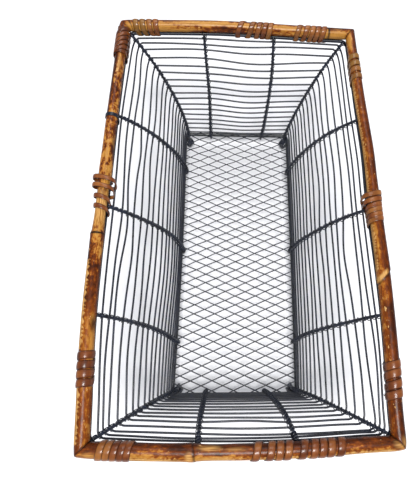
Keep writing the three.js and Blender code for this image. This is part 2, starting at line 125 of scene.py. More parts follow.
def headings(path: Array, closed: bool) -> Array:
    """Work out the way forward at each station, from the stations on both sides of it.

    Args:
        path: Stations, shaped (..., stations, 3).
        closed: Whether the last station leads back to the first.

    Returns:
        Unit vectors of the same shape.
    """
    if closed:
        return unit(np.roll(path, -1, -2) - np.roll(path, 1, -2))
    return unit(np.gradient(path, axis=-2))


def carry(
    section: Array, path: Array, towards: Array, closed: bool = False, scale: Array | float = 1.0
) -> Array:
    """Carry a flat section along a path.

    Formula: point = station + scale * (section x * across + section y * outward), where outward is the
    given direction made square to the path, and across is forward x outward.

    Args:
        section: Corners of the section, shaped (corners, 2), turning from across to outward.
        path: Stations, shaped (..., stations, 3).
        towards: Direction of the section's y, of a shape that fits the path.
        closed: Whether the path is a ring.
        scale: Size of the section at each station.

    Returns:
        Grid of points, shaped (..., stations, corners, 3).
    """
    forward = headings(path, closed)
    towards = np.broadcast_to(towards, path.shape)
    outward = unit(towards - np.sum(towards * forward, -1, keepdims=True) * forward)
    across = np.cross(forward, outward)
    grown = np.broadcast_to(np.asarray(scale, float), path.shape[:-1])[..., None, None]
    flat = section[:, :1] * across[..., None, :] + section[:, 1:] * outward[..., None, :]
    return path[..., None, :] + grown * flat


def round_section(radius: float, sides: int) -> Array:
    """Corners of a round wire: radius * (cos angle, sin angle)."""
    angle = np.arange(sides) * 2 * np.pi / sides
    return radius * np.stack([np.cos(angle), np.sin(angle)], 1)


def blunt(stations: int, tip: tuple[float, ...] = (0.45, 0.8, 0.95)) -> Array:
    """Scale of a wire whose two cut ends are rounded off over a few stations."""
    scale = np.ones(stations)
    scale[:len(tip)] = tip
    scale[-len(tip):] = tip[::-1]
    return scale


def evenly(path: Array, count: int, closed: bool = False) -> Array:
    """Walk a path at even steps.

    Args:
        path: Stations, shaped (stations, 3).
        count: How many stations to give back.
        closed: Whether the path is a ring, so that its start isn't repeated.

    Returns:
        Stations at even steps along the same line, shaped (count, 3).
    """
    line = np.vstack([path, path[:1]]) if closed else path
    walked = walked_length(line)
    steps = np.linspace(0, walked[-1], count, endpoint=not closed)
    return np.stack([np.interp(steps, walked, line[:, k]) for k in range(3)], 1)


def walked_length(path: Array) -> Array:
    """Distance along a path up to each of its stations."""
    return np.concatenate([[0], np.cumsum(np.linalg.norm(np.diff(path, axis=0), axis=1))])


def raise_mesh(
    name: str, grid: Array, closed: bool = False, marks: dict[str, Array] | None = None
) -> bpy.types.Object:
    """Skin one grid, or a stack of grids, of stations by corners as tubes with capped ends.

    Args:
        name: Name of the piece.
        grid: Points in millimetres, shaped (stations, corners, 3) or (tubes, stations, corners, 3).
        closed: Whether each tube is a ring.
        marks: Values for each point, one number or three, shaped as the grid is.

    Returns:
        The new object, at the origin.
    """
    stack = grid if grid.ndim == 4 else grid[None]
    tubes, stations, corners, _ = stack.shape
    index = np.arange(tubes * stations * corners).reshape(tubes, stations, corners)
    ahead = np.roll(index, -1, 1)
    here = index
    if not closed:
        here, ahead = index[:, :-1], ahead[:, :-1]
    quads = np.stack([here, ahead, np.roll(ahead, -1, 2), np.roll(here, -1, 2)], -1).reshape(-1, 4)
    faces = quads.tolist()
    if not closed:
        faces += index[:, 0].tolist() + index[:, -1, ::-1].tolist()
    mesh = bpy.data.meshes.new(name)
    mesh.from_pydata((stack.reshape(-1, 3) * MM).tolist(), [], faces)
    for mark, values in (marks or {}).items():
        wide = values.shape[-1] == 3 and values.ndim == grid.ndim
        kind, socket = ("FLOAT_VECTOR", "vector") if wide else ("FLOAT", "value")
        attribute = mesh.attributes.new(mark, kind, "POINT")
        attribute.data.foreach_set(socket, np.ascontiguousarray(values, np.float32).ravel())
    mesh.shade_smooth()
    mesh.update()
    piece = bpy.data.objects.new(name, mesh)
    bpy.context.scene.collection.objects.link(piece)
    return piece


def seat(piece: bpy.types.Object, finish: bpy.types.Material, slot: Slot, *nodes: str) -> None:
    """Dress a piece, fix it to the basket and let it stand for its solids.

    Args:
        piece: The new object.
        finish: Its material.
        slot: Material slot that its finish comes from; not used.
        nodes: Names of the solids that it stands for.
    """
    piece.data.materials.append(finish)
    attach(piece, BODY)
    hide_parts(*nodes)
    log.info("%s: %d faces, stands for %s", piece.name, len(piece.data.polygons), ", ".join(nodes))


def feed(tree: bpy.types.NodeTree, node: bpy.types.Node, links: dict) -> None:
    """Link an output to each named or numbered input of a node, or set a plain value there.

    Args:
        tree: The material's node tree.
        node: The node that is fed.
        links: Output socket, or plain value, for each input name or number.
    """
    for socket, source in links.items():
        if isinstance(source, bpy.types.NodeSocket):
            tree.links.new(source, node.inputs[socket])
        else:
            node.inputs[socket].default_value = source


def add_node(
    tree: bpy.types.NodeTree, kind: str, links: dict | None = None, **settings: object
) -> bpy.types.Node:
    """Add a shader node, set its options and inputs, and link what feeds it.

    Args:
        tree: The material's node tree.
        kind: Blender's name of the node.
        links: Output socket, or plain value, for each input name or number.
        settings: Options of the node itself.

    Returns:
        The new node.
    """
    node = tree.nodes.new(kind)
    for option, value in settings.items():
        setattr(node, option, value)
    feed(tree, node, links or {})
    return node


def shade(ramp: bpy.types.Node, *stops: tuple[float, str]) -> bpy.types.NodeSocket:
    """Give a colour ramp its stops.

    Args:
        ramp: A colour ramp node.
        stops: Place from 0 to 1 and sRGB hex colour of each stop.

    Returns:
        The ramp's colour output.
    """
    elements = ramp.color_ramp.elements
    while len(elements) < len(stops):
        elements.new(0.5)
    for element, (place, colour) in zip(elements, stops):
        element.position = place
        element.color = linear(colour)
    return ramp.outputs["Color"]


def new_material(name: str) -> tuple[bpy.types.Material, bpy.types.NodeTree, bpy.types.Node]:
    """Start a material that holds only a principled surface and its output.

    Args:
        name: Name of the real material.

    Returns:
        The material, its node tree and the surface node.
    """
    material = bpy.data.materials.new(name)
    material.use_nodes = True
    tree = material.node_tree
    tree.nodes.clear()
    surface = add_node(tree, "ShaderNodeBsdfPrincipled")
    add_node(tree, "ShaderNodeOutputMaterial", {"Surface": surface.outputs[0]})
    return material, tree, surface


@dataclass(frozen=True)
class LacqueredWire:
    """Black lacquered iron wire: drawn mild steel, brushed with thin oil black by hand.

    The eye gets a satin black that turns blue-grey where the sky lies on it, uneven where the brush
    left it thick or thin, with fine runs along the wire.
    """

    name: str = "black lacquered iron wire"
    deep: str = "#080B14"
    thin: str = "#182032"
    roughness: tuple[float, float] = (0.26, 0.42)
    coat_patch_mm: float = 9.0
    run_mm: float = 1.6
    run_height_mm: float = 0.2
    specular: float = 0.5

    def material(self) -> bpy.types.Material:
        """Mix two blacks by brushed patches and raise fine runs in the coat.

        Returns:
            The material.
        """
        material, tree, surface = new_material(self.name)
        node = partial(add_node, tree)
        place = node("ShaderNodeTexCoord").outputs["Object"]
        patch = node("ShaderNodeTexNoise", {
            "Vector": place, "Scale": 1 / (self.coat_patch_mm * MM), "Detail": 3.0,
            "Roughness": 0.6}).outputs["Fac"]
        tone = shade(node("ShaderNodeValToRGB", {"Fac": patch}), (0.35, self.deep), (0.7, self.thin))
        gloss = node("ShaderNodeMapRange", {
            "Value": patch, "From Min": 0.3, "From Max": 0.7,
            "To Min": self.roughness[0], "To Max": self.roughness[1]})
        runs = node("ShaderNodeTexNoise", {
            "Vector": place, "Scale": 1 / (self.run_mm * MM), "Detail": 2.0}).outputs["Fac"]
        bump = node("ShaderNodeBump", {
            "Height": runs, "Strength": 0.25, "Distance": self.run_height_mm * MM})
        feed(tree, surface, {
            "Base Color": tone, "Roughness": gloss.outputs["Result"], "Normal": bump.outputs["Normal"],
            "Specular IOR Level": self.specular})
        return material


@dataclass(frozen=True)
class ScorchedBamboo:
    """Tortoise-shell bamboo: a thin culm blotched with mud and acid over a fire, then oiled.

    The eye gets a waxy skin, gold on the side that the fire missed and red-brown on the other, with
    ragged dark teeth where the two meet, pale flecks where the skin is scraped, fine fibres along the
    culm and pale wood where it is cut. The pale wood is also laid on as a painted highlight.
    """

    name: str = "scorched tortoise-shell bamboo"
    gold: str = "#AE7A36"
    amber: str = "#92581C"
    russet: str = "#783B0D"
    brown: str = "#5C2908"
    umber: str = "#351505"
    charred: str = "#160B06"
    fleck: str = "#C89C62"
    # Pale cut wood, which is also the colour of the painted highlight on the far pole's crown
    wood: str = "#C39455"
    groove: str = "#86581F"
    blotch_mm: float = 9.0
    teeth_mm: float = 2.4
    fleck_mm: float = 2.0
    fibre_mm: float = 0.6
    skin_height_mm: float = 0.4
    swing: float = 1.4
    waxy: float = 0.14
    ior: float = 1.5
    specular: float = 0.17

    def material(self) -> bpy.types.Material:
        """Blend gold into russet by blotches and teeth, then add flecks, fibres, bare wood and char; the
        bare wood also carries a painted highlight.

        Returns:
            The material.
        """
        material, tree, surface = new_material(self.name)
        node = partial(add_node, tree)
        culm = node("ShaderNodeAttribute", attribute_name="culm").outputs["Vector"]
        red, char, bare, chip, mottle = (
            node("ShaderNodeAttribute", attribute_name=name).outputs["Fac"]
            for name in [*(mark.value for mark in Mark), "mottle"])
        # Blotches are drawn out to twice their width along the culm, and fibres to 25 times theirs
        long_way = node("ShaderNodeVectorMath", {
            0: culm, 1: (0.5, 1.0, 1.0)}, operation="MULTIPLY").outputs[0]
        fibre_way = node("ShaderNodeVectorMath", {
            0: culm, 1: (0.04, 1.0, 1.0)}, operation="MULTIPLY").outputs[0]
        blotch = node("ShaderNodeTexNoise", {
            "Vector": long_way, "Scale": 1 / self.blotch_mm, "Detail": 4.0, "Roughness": 0.6,
            "Distortion": 0.6}).outputs["Fac"]
        teeth = node("ShaderNodeTexNoise", {
            "Vector": long_way, "Scale": 1 / self.teeth_mm, "Detail": 3.0,
            "Roughness": 0.65}).outputs["Fac"]
        scrape = node("ShaderNodeTexNoise", {
            "Vector": long_way, "Scale": 1 / self.fleck_mm, "Detail": 2.0}).outputs["Fac"]
        fibre = node("ShaderNodeTexNoise", {
            "Vector": fibre_way, "Scale": 1 / self.fibre_mm, "Detail": 2.0}).outputs["Fac"]
        swing = node("ShaderNodeMath", {
            0: blotch, 1: self.swing, 2: -self.swing}, operation="MULTIPLY_ADD")
        torn = node("ShaderNodeMath", {
            0: teeth, 1: self.swing, 2: swing.outputs[0]}, operation="MULTIPLY_ADD")
        burnt = node("ShaderNodeMath", {
            0: torn.outputs[0], 1: mottle, 2: red}, operation="MULTIPLY_ADD")
        skin = shade(
            node("ShaderNodeValToRGB", {"Fac": burnt.outputs[0]}), (0.16, self.gold), (0.36, self.amber),
            (0.42, self.russet), (0.58, self.brown), (0.86, self.umber))
        grain = node("ShaderNodeMapRange", {
            "Value": fibre, "From Min": 0.35, "From Max": 0.65, "To Min": 0.78, "To Max": 1.18})
        fibred = node("ShaderNodeMix", {
            0: 1.0, 6: skin, 7: grain.outputs["Result"]}, data_type="RGBA", blend_type="MULTIPLY")
        scraped = node("ShaderNodeMath", {0: chip, 1: 0.2, 2: scrape}, operation="MULTIPLY_ADD")
        flecks = node("ShaderNodeMapRange", {
            "Value": scraped.outputs[0], "From Min": 0.69, "From Max": 0.74, "To Min": 0.0, "To Max": 0.85})
        flecked = node("ShaderNodeMix", {
            0: flecks.outputs["Result"], 6: fibred.outputs[2], 7: linear(self.fleck)}, data_type="RGBA")
        wood = shade(node("ShaderNodeValToRGB", {"Fac": fibre}), (0.38, self.groove), (0.54, self.wood))
        # The bare mask mixes in pale wood: cut and scraped wood, and a painted highlight on the far pole's
        # crown
        pared = node("ShaderNodeMix", {0: bare, 6: flecked.outputs[2], 7: wood}, data_type="RGBA")
        singed = node("ShaderNodeMix", {
            0: char, 6: pared.outputs[2], 7: linear(self.charred)}, data_type="RGBA")
        dull = node("ShaderNodeMath", {0: bare, 1: 0.25, 2: self.waxy}, operation="MULTIPLY_ADD")
        altered = node("ShaderNodeMath", {0: teeth, 1: 0.3, 2: dull.outputs[0]}, operation="MULTIPLY_ADD")
        bump = node("ShaderNodeBump", {
            "Height": teeth, "Strength": 0.35, "Distance": self.skin_height_mm * MM})
        feed(tree, surface, {
            "Base Color": singed.outputs[2], "Roughness": altered.outputs[0], "Normal": bump.outputs["Normal"],
            "IOR": self.ior, "Specular IOR Level": self.specular})
        return material


@dataclass(frozen=True)
class StainedCane:
    """Split cane: the glossy outer peel of rattan, stained red-brown and wound on damp.

    The eye gets a hard shine along the crown of each strip, darker edges, fine straight fibres and a
    change of tone from turn to turn.
    """

    name: str = "stained split cane"
    pale: str = "#925A28"
    tan: str = "#7C5824"
    stain: str = "#6C3713"
    dark: str = "#341306"
    fibre_mm: float = 0.45
    fibre_height_mm: float = 0.2
    patch_mm: float = 14.0
    ior: float = 1.5
    specular: float = 0.22
    coat: float = 0.3
    coat_roughness: float = 0.09

    def material(self) -> bpy.types.Material:
        """Vary the stain along the strip, darken its edges and draw fibres along it.

        Returns:
            The material.
        """
        material, tree, surface = new_material(self.name)
        node = partial(add_node, tree)
        strip = node("ShaderNodeAttribute", attribute_name="strip").outputs["Vector"]
        edge, stained = (
            node("ShaderNodeAttribute", attribute_name=name).outputs["Fac"] for name in ("edge", "tone"))
        stretch = node("ShaderNodeVectorMath", {0: strip, 1: (1.0, 0.35, 1.0)}, operation="MULTIPLY")
        patch = node("ShaderNodeTexNoise", {
            "Vector": stretch.outputs[0], "Scale": 1 / self.patch_mm, "Detail": 4.0,
            "Roughness": 0.6}).outputs["Fac"]
        fibre_way = node("ShaderNodeVectorMath", {0: strip, 1: (0.04, 1.0, 1.0)}, operation="MULTIPLY")
        fibre = node("ShaderNodeTexNoise", {
            "Vector": fibre_way.outputs[0], "Scale": 1 / self.fibre_mm, "Detail": 2.0}).outputs["Fac"]
        depth = node("ShaderNodeMath", {0: stained, 1: 0.16, 2: patch}, operation="MULTIPLY_ADD")
        strip_tone = shade(
            node("ShaderNodeValToRGB", {"Fac": depth.outputs[0]}),
            (0.26, self.dark), (0.48, self.stain), (0.70, self.pale))
        faded = node("ShaderNodeMapRange", {
            "Value": stained, "From Min": 0.4, "From Max": 1.0, "To Max": 0.8})
        tone = node("ShaderNodeMix", {
            0: faded.outputs["Result"], 6: strip_tone, 7: linear(self.tan)}, data_type="RGBA")
        grain = node("ShaderNodeMapRange", {
            "Value": fibre, "From Min": 0.35, "From Max": 0.65, "To Min": 0.85, "To Max": 1.1})
        fibred = node("ShaderNodeMix", {
            0: 1.0, 6: tone.outputs[2], 7: grain.outputs["Result"]}, data_type="RGBA", blend_type="MULTIPLY")
        edged = node("ShaderNodeMix", {
            0: edge, 6: fibred.outputs[2], 7: linear(self.dark)}, data_type="RGBA")
        gloss = node("ShaderNodeMapRange", {
            "Value": patch, "From Min": 0.3, "From Max": 0.7, "To Min": 0.28, "To Max": 0.42})
        bump = node("ShaderNodeBump", {
            "Height": fibre, "Strength": 0.2, "Distance": self.fibre_height_mm * MM})
        feed(tree, surface, {
            "Base Color": edged.outputs[2], "Roughness": gloss.outputs["Result"],
            "Normal": bump.outputs["Normal"], "IOR": self.ior, "Specular IOR Level": self.specular,
            "Coat Weight": self.coat, "Coat Roughness": self.coat_roughness})
        return material


@dataclass(frozen=True)
class MattCard:
    """Matt white card: the pale floor under the basket, which gives the eye nothing but soft shade."""

    name: str = "matt white card"
    tone: str = "#F4F4F6"
    roughness: float = 0.9
    specular: float = 0.1

    def material(self) -> bpy.types.Material:
        """Make a plain white that scatters light.

        Returns:
            The material.
        """
        material, tree, surface = new_material(self.name)
        feed(tree, surface, {
            "Base Color": linear(self.tone), "Roughness": self.roughness,
            "Specular IOR Level": self.specular})
        return material


@dataclass(frozen=True)
class Table:
    """Values at places along a wall, joined by a smooth curve.

    Formula: between two entries the curve is the cubic that meets both values with the mean slopes
    of their neighbours.
    """

    places: tuple[float, ...]
    values: tuple[float, ...]

    def at(self, where: Array) -> Array:
        """Read the curve.

        Args:
            where: Places to read it at; past the ends the last value holds.

        Returns:
            Values there.
        """
        spots, levels = np.array(self.places, float), np.array(self.values, float)
        if len(spots) == 1:
            return np.full(np.shape(where), levels[0])
        slopes = np.gradient(levels, spots)
        held = np.clip(where, spots[0], spots[-1])
        k = np.clip(np.searchsorted(spots, held) - 1, 0, len(spots) - 2)
        gap = spots[k + 1] - spots[k]
        t = (held - spots[k]) / gap
        rise = t * t * (3 - 2 * t)
        lift = gap * (slopes[k] * t * (1 - t) ** 2 - slopes[k + 1] * t * t * (1 - t))
        return levels[k] + (levels[k + 1] - levels[k]) * rise + lift


@dataclass(frozen=True)
class Rise:
    """The side view of ribs on one wall, from inside the base rod up to the inside of the rim rod.

    Formula: out = foot + (top - foot) * ((1 - flare) * rise^2 + flare * rise^8), where rise is the
    share of the height.
    """

    foot: float
    top: float
    top_z: float
    base_z: float
    hoop_offset: float
    flare: float = 0.1
    power: int = 8

    def share(self, z: Array | float) -> Array | float:
        """Share of the way out that is reached at height z."""
        rise = (z - self.base_z) / (self.top_z - self.base_z)
        return (1 - self.flare) * rise ** 2 + self.flare * rise ** self.power

    def out(self, z: Array | float) -> Array | float:
        """Distance of the rib's centre from the middle of the basket at height z."""
        return self.foot + (self.top - self.foot) * self.share(z)

    def lean(self, z: Array | float) -> Array | float:
        """Angle of the rib from upright at height z."""
        height = self.top_z - self.base_z
        rise = (z - self.base_z) / height
        slope = 2 * (1 - self.flare) * rise + self.power * self.flare * rise ** (self.power - 1)
        return np.arctan((self.top - self.foot) * slope / height)

    def hoop_out(self, z: float) -> float:
        """Distance of a hoop at height z from the middle of the basket, square off the rib it faces."""
        height = z
        for _ in range(20):
            height = z + self.hoop_offset * np.sin(self.lean(height))
        return self.out(height) + self.hoop_offset * np.cos(self.lean(height))


@dataclass
class BasketSizes:
    """Sizes that all pieces share, the same as those of the solids, and how far hands pulled them askew."""

    base_width: float = 149.0
    base_length: float = 358.0
    rim_width: float = 258.0
    rim_length: float = 428.0
    base_corner: float = 8.0
    rod_corner: float = 8.0
    base_z: float = 18.7
    pole_z: float = 168.7
    rod_radius: float = 1.9
    base_rod_radius: float = 2.5
    rib_radius: float = 1.55
    hoop_radius: float = 0.98
    tie_radius: float = 0.48
    rod_inset: float = 2.6
    rod_to_pole: float = 7.9
    rib_off_base: float = 4.5
    rib_off_rim: float = 3.5
    hoop_offset: float = 2.65
    seed: int = 7
    # How far each wall stands out from a true oblong, at shares of its length from -1 to 1
    rim_askew: dict[Wall, Table] = field(default_factory=lambda: {
        Wall.LEFT: Table((-1, -0.86, -0.7, -0.55, -0.28, 0.1, 0.47, 0.8, 1),
                         (-3.7, -2.0, 0.3, 1.8, 2.6, 1.5, 0.7, -0.8, -1.7)),
        Wall.RIGHT: Table((-1, -0.89, -0.75, -0.51, -0.33, 0.05, 0.3, 0.42, 0.58, 0.75, 1),
                          (-0.8, -0.7, 0.6, 2.0, 2.4, 1.0, 1.0, -0.2, -2.0, -3.3, -5.1)),
        Wall.FAR: Table((-1, -0.62, -0.16, 0.31, 0.7, 1), (-2.8, -1.2, 0.0, -1.8, -3.8, -5.0)),
        Wall.NEAR: Table((-1, -0.47, 0, 0.35, 0.58, 0.78, 1), (-1.2, 1.7, 2.3, 1.4, 0.0, -1.4, -2.2)),
    })
    base_askew: dict[Wall, Table] = field(default_factory=lambda: {
        Wall.LEFT: Table((-1, -0.56, 0, 1), (3.1, 1.2, -0.2, 0.3)),
        Wall.RIGHT: Table((-1, -0.56, 0, 1), (-3.2, -2.2, -1.5, -1.5)),
        Wall.FAR: Table((0,), (-1.2,)),
        Wall.NEAR: Table((0,), (1.2,)),
    })
    belly: dict[Wall, Table] = field(default_factory=lambda: {
        Wall.LEFT: Table((-1, -0.62, -0.25, 0.15, 1), (1.0, 1.6, -1.3, -0.2, 0.0)),
        Wall.RIGHT: Table((-1, -0.6, 0, 0.3, 1), (2.0, 3.0, 2.6, 3.6, 3.0)),
        Wall.FAR: Table((-1, -0.45, 0.1, 0.55, 1), (1.2, 1.2, -3.6, -0.8, 1.4)),
        Wall.NEAR: Table((0,), (0.0,)),
    })

    @property
    def rod_drop(self) -> float:
        """Height of the pole's centre over the rim rod's."""
        return math.sqrt(self.rod_to_pole ** 2 - self.rod_inset ** 2)

    @property
    def rod_z(self) -> float:
        """Height of the rim rod."""
        return self.pole_z - self.rod_drop

    def rise(self, base_half: float, rim_half: float) -> Rise:
        """Fit a rib's side view between the base rod and the rim rod.

        Args:
            base_half: Distance of the base rod from the middle of the basket.
            rim_half: Distance of the rim rod from the middle of the basket.

        Returns:
            The side view.
        """
        lean = 0.0
        foot = base_half - self.rib_off_base
        for _ in range(30):
            top = rim_half - self.rib_off_rim * math.cos(lean)
            top_z = self.rod_z + self.rib_off_rim * math.sin(lean)
            made = Rise(foot, top, top_z, self.base_z, self.hoop_offset)
            lean = float(made.lean(top_z))
        return made

    def by_hand(self, points: Array) -> Array:
        """Move points that were drawn true to where the maker's hands left them.

        Formula: a wall's stand at some height is the mix of its base and rim tables by the share of the
        flare reached there, plus its belly times 4 * rise * (1 - rise), and a point between two opposite
        walls moves by the mix of both stands.

        Args:
            points: Points drawn true, shaped (..., 3).

        Returns:
            Moved points.
        """
        rise = np.clip((points[..., 2] - self.base_z) / (self.rod_z - self.base_z), 0, 1)
        share = (1 - Rise.flare) * rise ** 2 + Rise.flare * rise ** Rise.power
        across = points[..., 0] * 2 / (self.base_width + (self.rim_width - self.base_width) * share)
        along = points[..., 1] * 2 / (self.base_length + (self.rim_length - self.base_length) * share)
        across, along = np.clip(across, -1.1, 1.1), np.clip(along, -1.1, 1.1)
        stand = {
            wall: ((1 - share) * self.base_askew[wall].at(way) + share * self.rim_askew[wall].at(way)
                   + 4 * rise * (1 - rise) * self.belly[wall].at(way))
            for wall in Wall for way in (along if wall.is_long else across,)}
        moved = np.array(points, float)
        moved[..., 0] += (1 + across) / 2 * stand[Wall.RIGHT] - (1 - across) / 2 * stand[Wall.LEFT]
        moved[..., 1] += (1 + along) / 2 * stand[Wall.FAR] - (1 - along) / 2 * stand[Wall.NEAR]
        return moved


def ring(
    half_width: float, half_length: float, round_x: Array | float, round_y: Array | float, count: int
) -> tuple[Array, Array]:
    """Walk a rectangle with rounded corners, from the middle of the left wall towards the far wall.

    Formula: each corner is a quarter of an ellipse, (round_x * cos angle, round_y * sin angle) about its
    own centre, and the walls are the straight lines between them.

    Args:
        half_width: Half of the size along X.
        half_length: Half of the size along Y.
        round_x: Reach of the corners along X, one or a column of four from the far left one on.
        round_y: Reach of the corners along Y, likewise.
        count: How many stations to give back.

    Returns:
        Stations and outward directions, both shaped (count, 2).
    """
    angle = np.pi - np.pi / 2 * (np.arange(4)[:, None] + np.linspace(0, 1, 25))
    way = np.array([[-1, 1], [1, 1], [1, -1], [-1, -1]])
    x = way[:, :1] * (half_width - round_x) + round_x * np.cos(angle)
    y = way[:, 1:] * (half_length - round_y) + round_y * np.sin(angle)
    line = np.stack([x, y, np.cos(angle) / round_x, np.sin(angle) / round_y], -1).reshape(-1, 4)
    line[:, 2:] = unit(line[:, 2:])
    start = np.array([[-half_width, 0, -1, 0]], float)
    line = np.vstack([start, line, start])
    walked = walked_length(line[:, :2])
    steps = np.linspace(0, walked[-1], count, endpoint=False)
    walk = np.stack([np.interp(steps, walked, line[:, k]) for k in range(4)], 1)
    return walk[:, :2], unit(walk[:, 2:])


@dataclass
class Strand:
    """A wire ring as it lies: its centre line, the way out at each station and its radius."""

    name: str
    path: Array
    normal: Array
    radius: float


@dataclass
class WireWalls:
    """Hoops, ribs and tie wires that make the walls, and the rim rod that they end at."""

    sizes: BasketSizes
    hoop_count: int = 17
    top_hoops: int = 2
    top_pitch: float = 4.7
    hoop_stations: int = 640
    hoop_sides: int = 8
    slide_mm: float = 0.6
    # Shares of a round corner's radius that far corners reach along X and along Y
    far_sweep: tuple[float, float] = (0.515, 3.0)
    # Radius of the near corners, which turn sharply over the rib, and how far along X and along Y the hoops
    # are pulled straight towards it
    near_bend: float = 6.0
    near_run: tuple[float, float] = (60.0, 60.0)
    long_rib_at_rim: float = 104.0
    long_rib_at_base: float = 118.0
    end_rib_at_rim: float = 39.0
    end_rib_at_base: float = 37.0
    foot_radius: float = 6.5
    foot_outside_rib: float = 2.0
    foot_turn: float = 4.6 * math.pi
    foot_flat: float = 0.5
    foot_pitch: float = 3.6
    toe_turn: float = 0.75 * math.pi
    # How far hands tied ribs off their even places, at the rim and at the base
    rim_shift: dict[str, float] = field(default_factory=lambda: {
        "left_far": -5.0, "left_mid": -2.5, "left_near": -2.5, "right_far": -1.5, "right_mid": -2.5,
        "right_near": -3.5, "near_left": 2.6, "near_right": 5.3, "far_right": 1.5})
    foot_shift: dict[str, float] = field(default_factory=lambda: {
        "near_left": 3.5, "near_right": -3.4, "far_right": -1.9, "left_far": -1.0})
    # Hoops that sag between two ribs: number, wall, place, reach and depth
    sags: tuple[tuple[int, Wall, float, float, float], ...] = (
        (14, Wall.RIGHT, -38, 34, 4.2), (13, Wall.RIGHT, -48, 36, 2.8), (15, Wall.LEFT, 150, 30, 2.2),
        (13, Wall.NEAR, 8, 30, 3.4), (14, Wall.LEFT, 72, 22, 2.4), (14, Wall.LEFT, -42, 28, 1.8),
        (16, Wall.RIGHT, -130, 48, -3.0), (17, Wall.RIGHT, -130, 48, -2.6),
        (17, Wall.LEFT, 110, 80, -3.4), (15, Wall.LEFT, -15, 35, 4.0), (16, Wall.LEFT, -15, 35, 2.0),
        (17, Wall.FAR, 0, 160, -2.6), (16, Wall.FAR, 0, 160, -2.4),
        (17, Wall.FAR, 5, 45, 2.0), (16, Wall.FAR, 5, 45, 2.2), (15, Wall.FAR, 5, 38, 1.4),
        (14, Wall.FAR, 25, 60, 1.6), (13, Wall.FAR, 25, 60, 1.5))
    # How much too high each hoop is tied at the near right corner, by its number, and how far that
    # reaches along X and along Y
    climb: Table = Table((4, 8, 10, 12, 14, 15, 16, 17), (0.0, 3.0, 4.6, 5.4, 6.2, 6.0, 5.0, 2.4))
    climb_reach: tuple[float, float] = (140.0, 58.0)
    # How far the rim rod bows in along the right wall, where the middle binding is loose
    rod_bow: Table = Table((-110, -30, 15, 60, 140), (0.0, 1.3, 1.5, 1.1, 0.0))
    # Ribs whose tie wire ends in loops round the pole
    looped: tuple[str, ...] = ("left_far",)
    loop_turns: int = 4
    loop_offset: float = 1.5
    # How far apart a tie wire goes round the rib between two hoops, and stations in one of its turns
    tie_pitch: float = 3.8
    tie_steps: int = 14
    tie_swell: float = 1.3
    tie_start: float = 2.2
    # Stations and sides of the wires
    rod_stations: int = 900
    rib_steps: int = 150
    toe_steps: int = 24
    foot_steps: int = 140
    wall_rib_stations: int = 190
    corner_rib_stations: int = 330
    rib_sides: int = 12
    tie_sides: int = 6

    def heights(self) -> Array:
        """Heights of the hoops: even up to the last two, which crowd under the rim rod."""
        even = self.hoop_count - self.top_hoops
        step = (self.sizes.rod_z - self.sizes.base_z - (self.top_hoops + 1) * self.top_pitch) / even
        number = np.arange(1, self.hoop_count + 1)
        crowded = np.maximum(0, number - even)
        return self.sizes.base_z + step * np.minimum(number, even) + self.top_pitch * crowded

    def rises(self) -> tuple[Rise, Rise, Rise]:
        """Side views of the long walls, the end walls and the corners."""
        s = self.sizes
        rod_w, rod_l = s.rim_width / 2 - s.rod_inset, s.rim_length / 2 - s.rod_inset
        cut = math.sqrt(2) - 1
        corner_base = (s.base_width + s.base_length) / 2 * math.sqrt(0.5) - s.base_corner * cut
        corner_rim = (rod_w + rod_l) * math.sqrt(0.5) - s.rod_corner * cut
        return (
            s.rise(s.base_width / 2, rod_w), s.rise(s.base_length / 2, rod_l),
            s.rise(corner_base, corner_rim))

    def lay_hoops(self) -> list[Strand]:
        """Lay every hoop round the outside of the ribs, slid a little up and down the wall by hand.

        Formula: a hoop is a rounded ring that stands out by slide * sin(lean) and rises by
        slide * cos(lean), where slide is a sum of waves round the ring.

        Returns:
            The hoops from the lowest up.
        """
        rng = np.random.default_rng(self.sizes.seed)
        long, end, corner = self.rises()
        waves = np.arange(2, 13)
        turn = np.linspace(0, 2 * np.pi, self.hoop_stations, endpoint=False)[:, None]
        hoops = []
        for number, z in enumerate(self.heights(), 1):
            half_w, half_l = long.hoop_out(z), end.hoop_out(z)
            radius = ((half_w + half_l) * math.sqrt(0.5) - corner.hoop_out(z)) / (math.sqrt(2) - 1)
            far_reach = radius * np.array(self.far_sweep)
            sweep = np.stack([far_reach, far_reach, [self.near_bend] * 2, [self.near_bend] * 2])
            xy, normal = ring(half_w, half_l, sweep[:, :1], sweep[:, 1:], self.hoop_stations)
            pull = (radius - self.near_bend) * (1 - math.sqrt(0.5))
            for side in (-1, 1):
                tip = xy[np.argmax(xy @ (side, -1))]
                close = np.clip(1 - np.sum(np.abs(xy - tip) / self.near_run, axis=1), 0, 1)
                xy = xy + pull * close[:, None] * (-side, 1)
            size = rng.normal(0, 1, len(waves)) / waves ** 0.5
            phase = rng.uniform(0, 2 * np.pi, len(waves))
            slide = self.slide_mm * min(1.0, 0.35 + number / 12) * (np.sin(turn * waves + phase) @ size)
            for sagging, wall, place, reach, depth in self.sags:
                if sagging == number:
                    faces = np.clip(normal @ wall.out[:2], 0, 1) ** 8
                    slide = slide - depth * faces * np.exp(-((xy @ wall.along[:2] - place) / reach) ** 2)
            apart = (xy - xy[np.argmax(xy[:, 0] - xy[:, 1])]) / self.climb_reach
            slide = slide + self.climb.at(float(number)) * np.exp(-np.sum(apart ** 2, axis=1))
            facing_long = normal[:, 0] ** 2
            lean = facing_long * long.lean(z) + (1 - facing_long) * end.lean(z)
            lean = lean + 4 * facing_long * (1 - facing_long) * (corner.lean(z) - lean)
            path = np.column_stack([xy + normal * (slide * np.sin(lean))[:, None], z + slide * np.cos(lean)])
            normal = np.column_stack([normal, np.zeros(len(normal))])
            path = self.sizes.by_hand(path)
            hoops.append(Strand(f"hoop_{number:02d}", path, normal, self.sizes.hoop_radius))
        return hoops

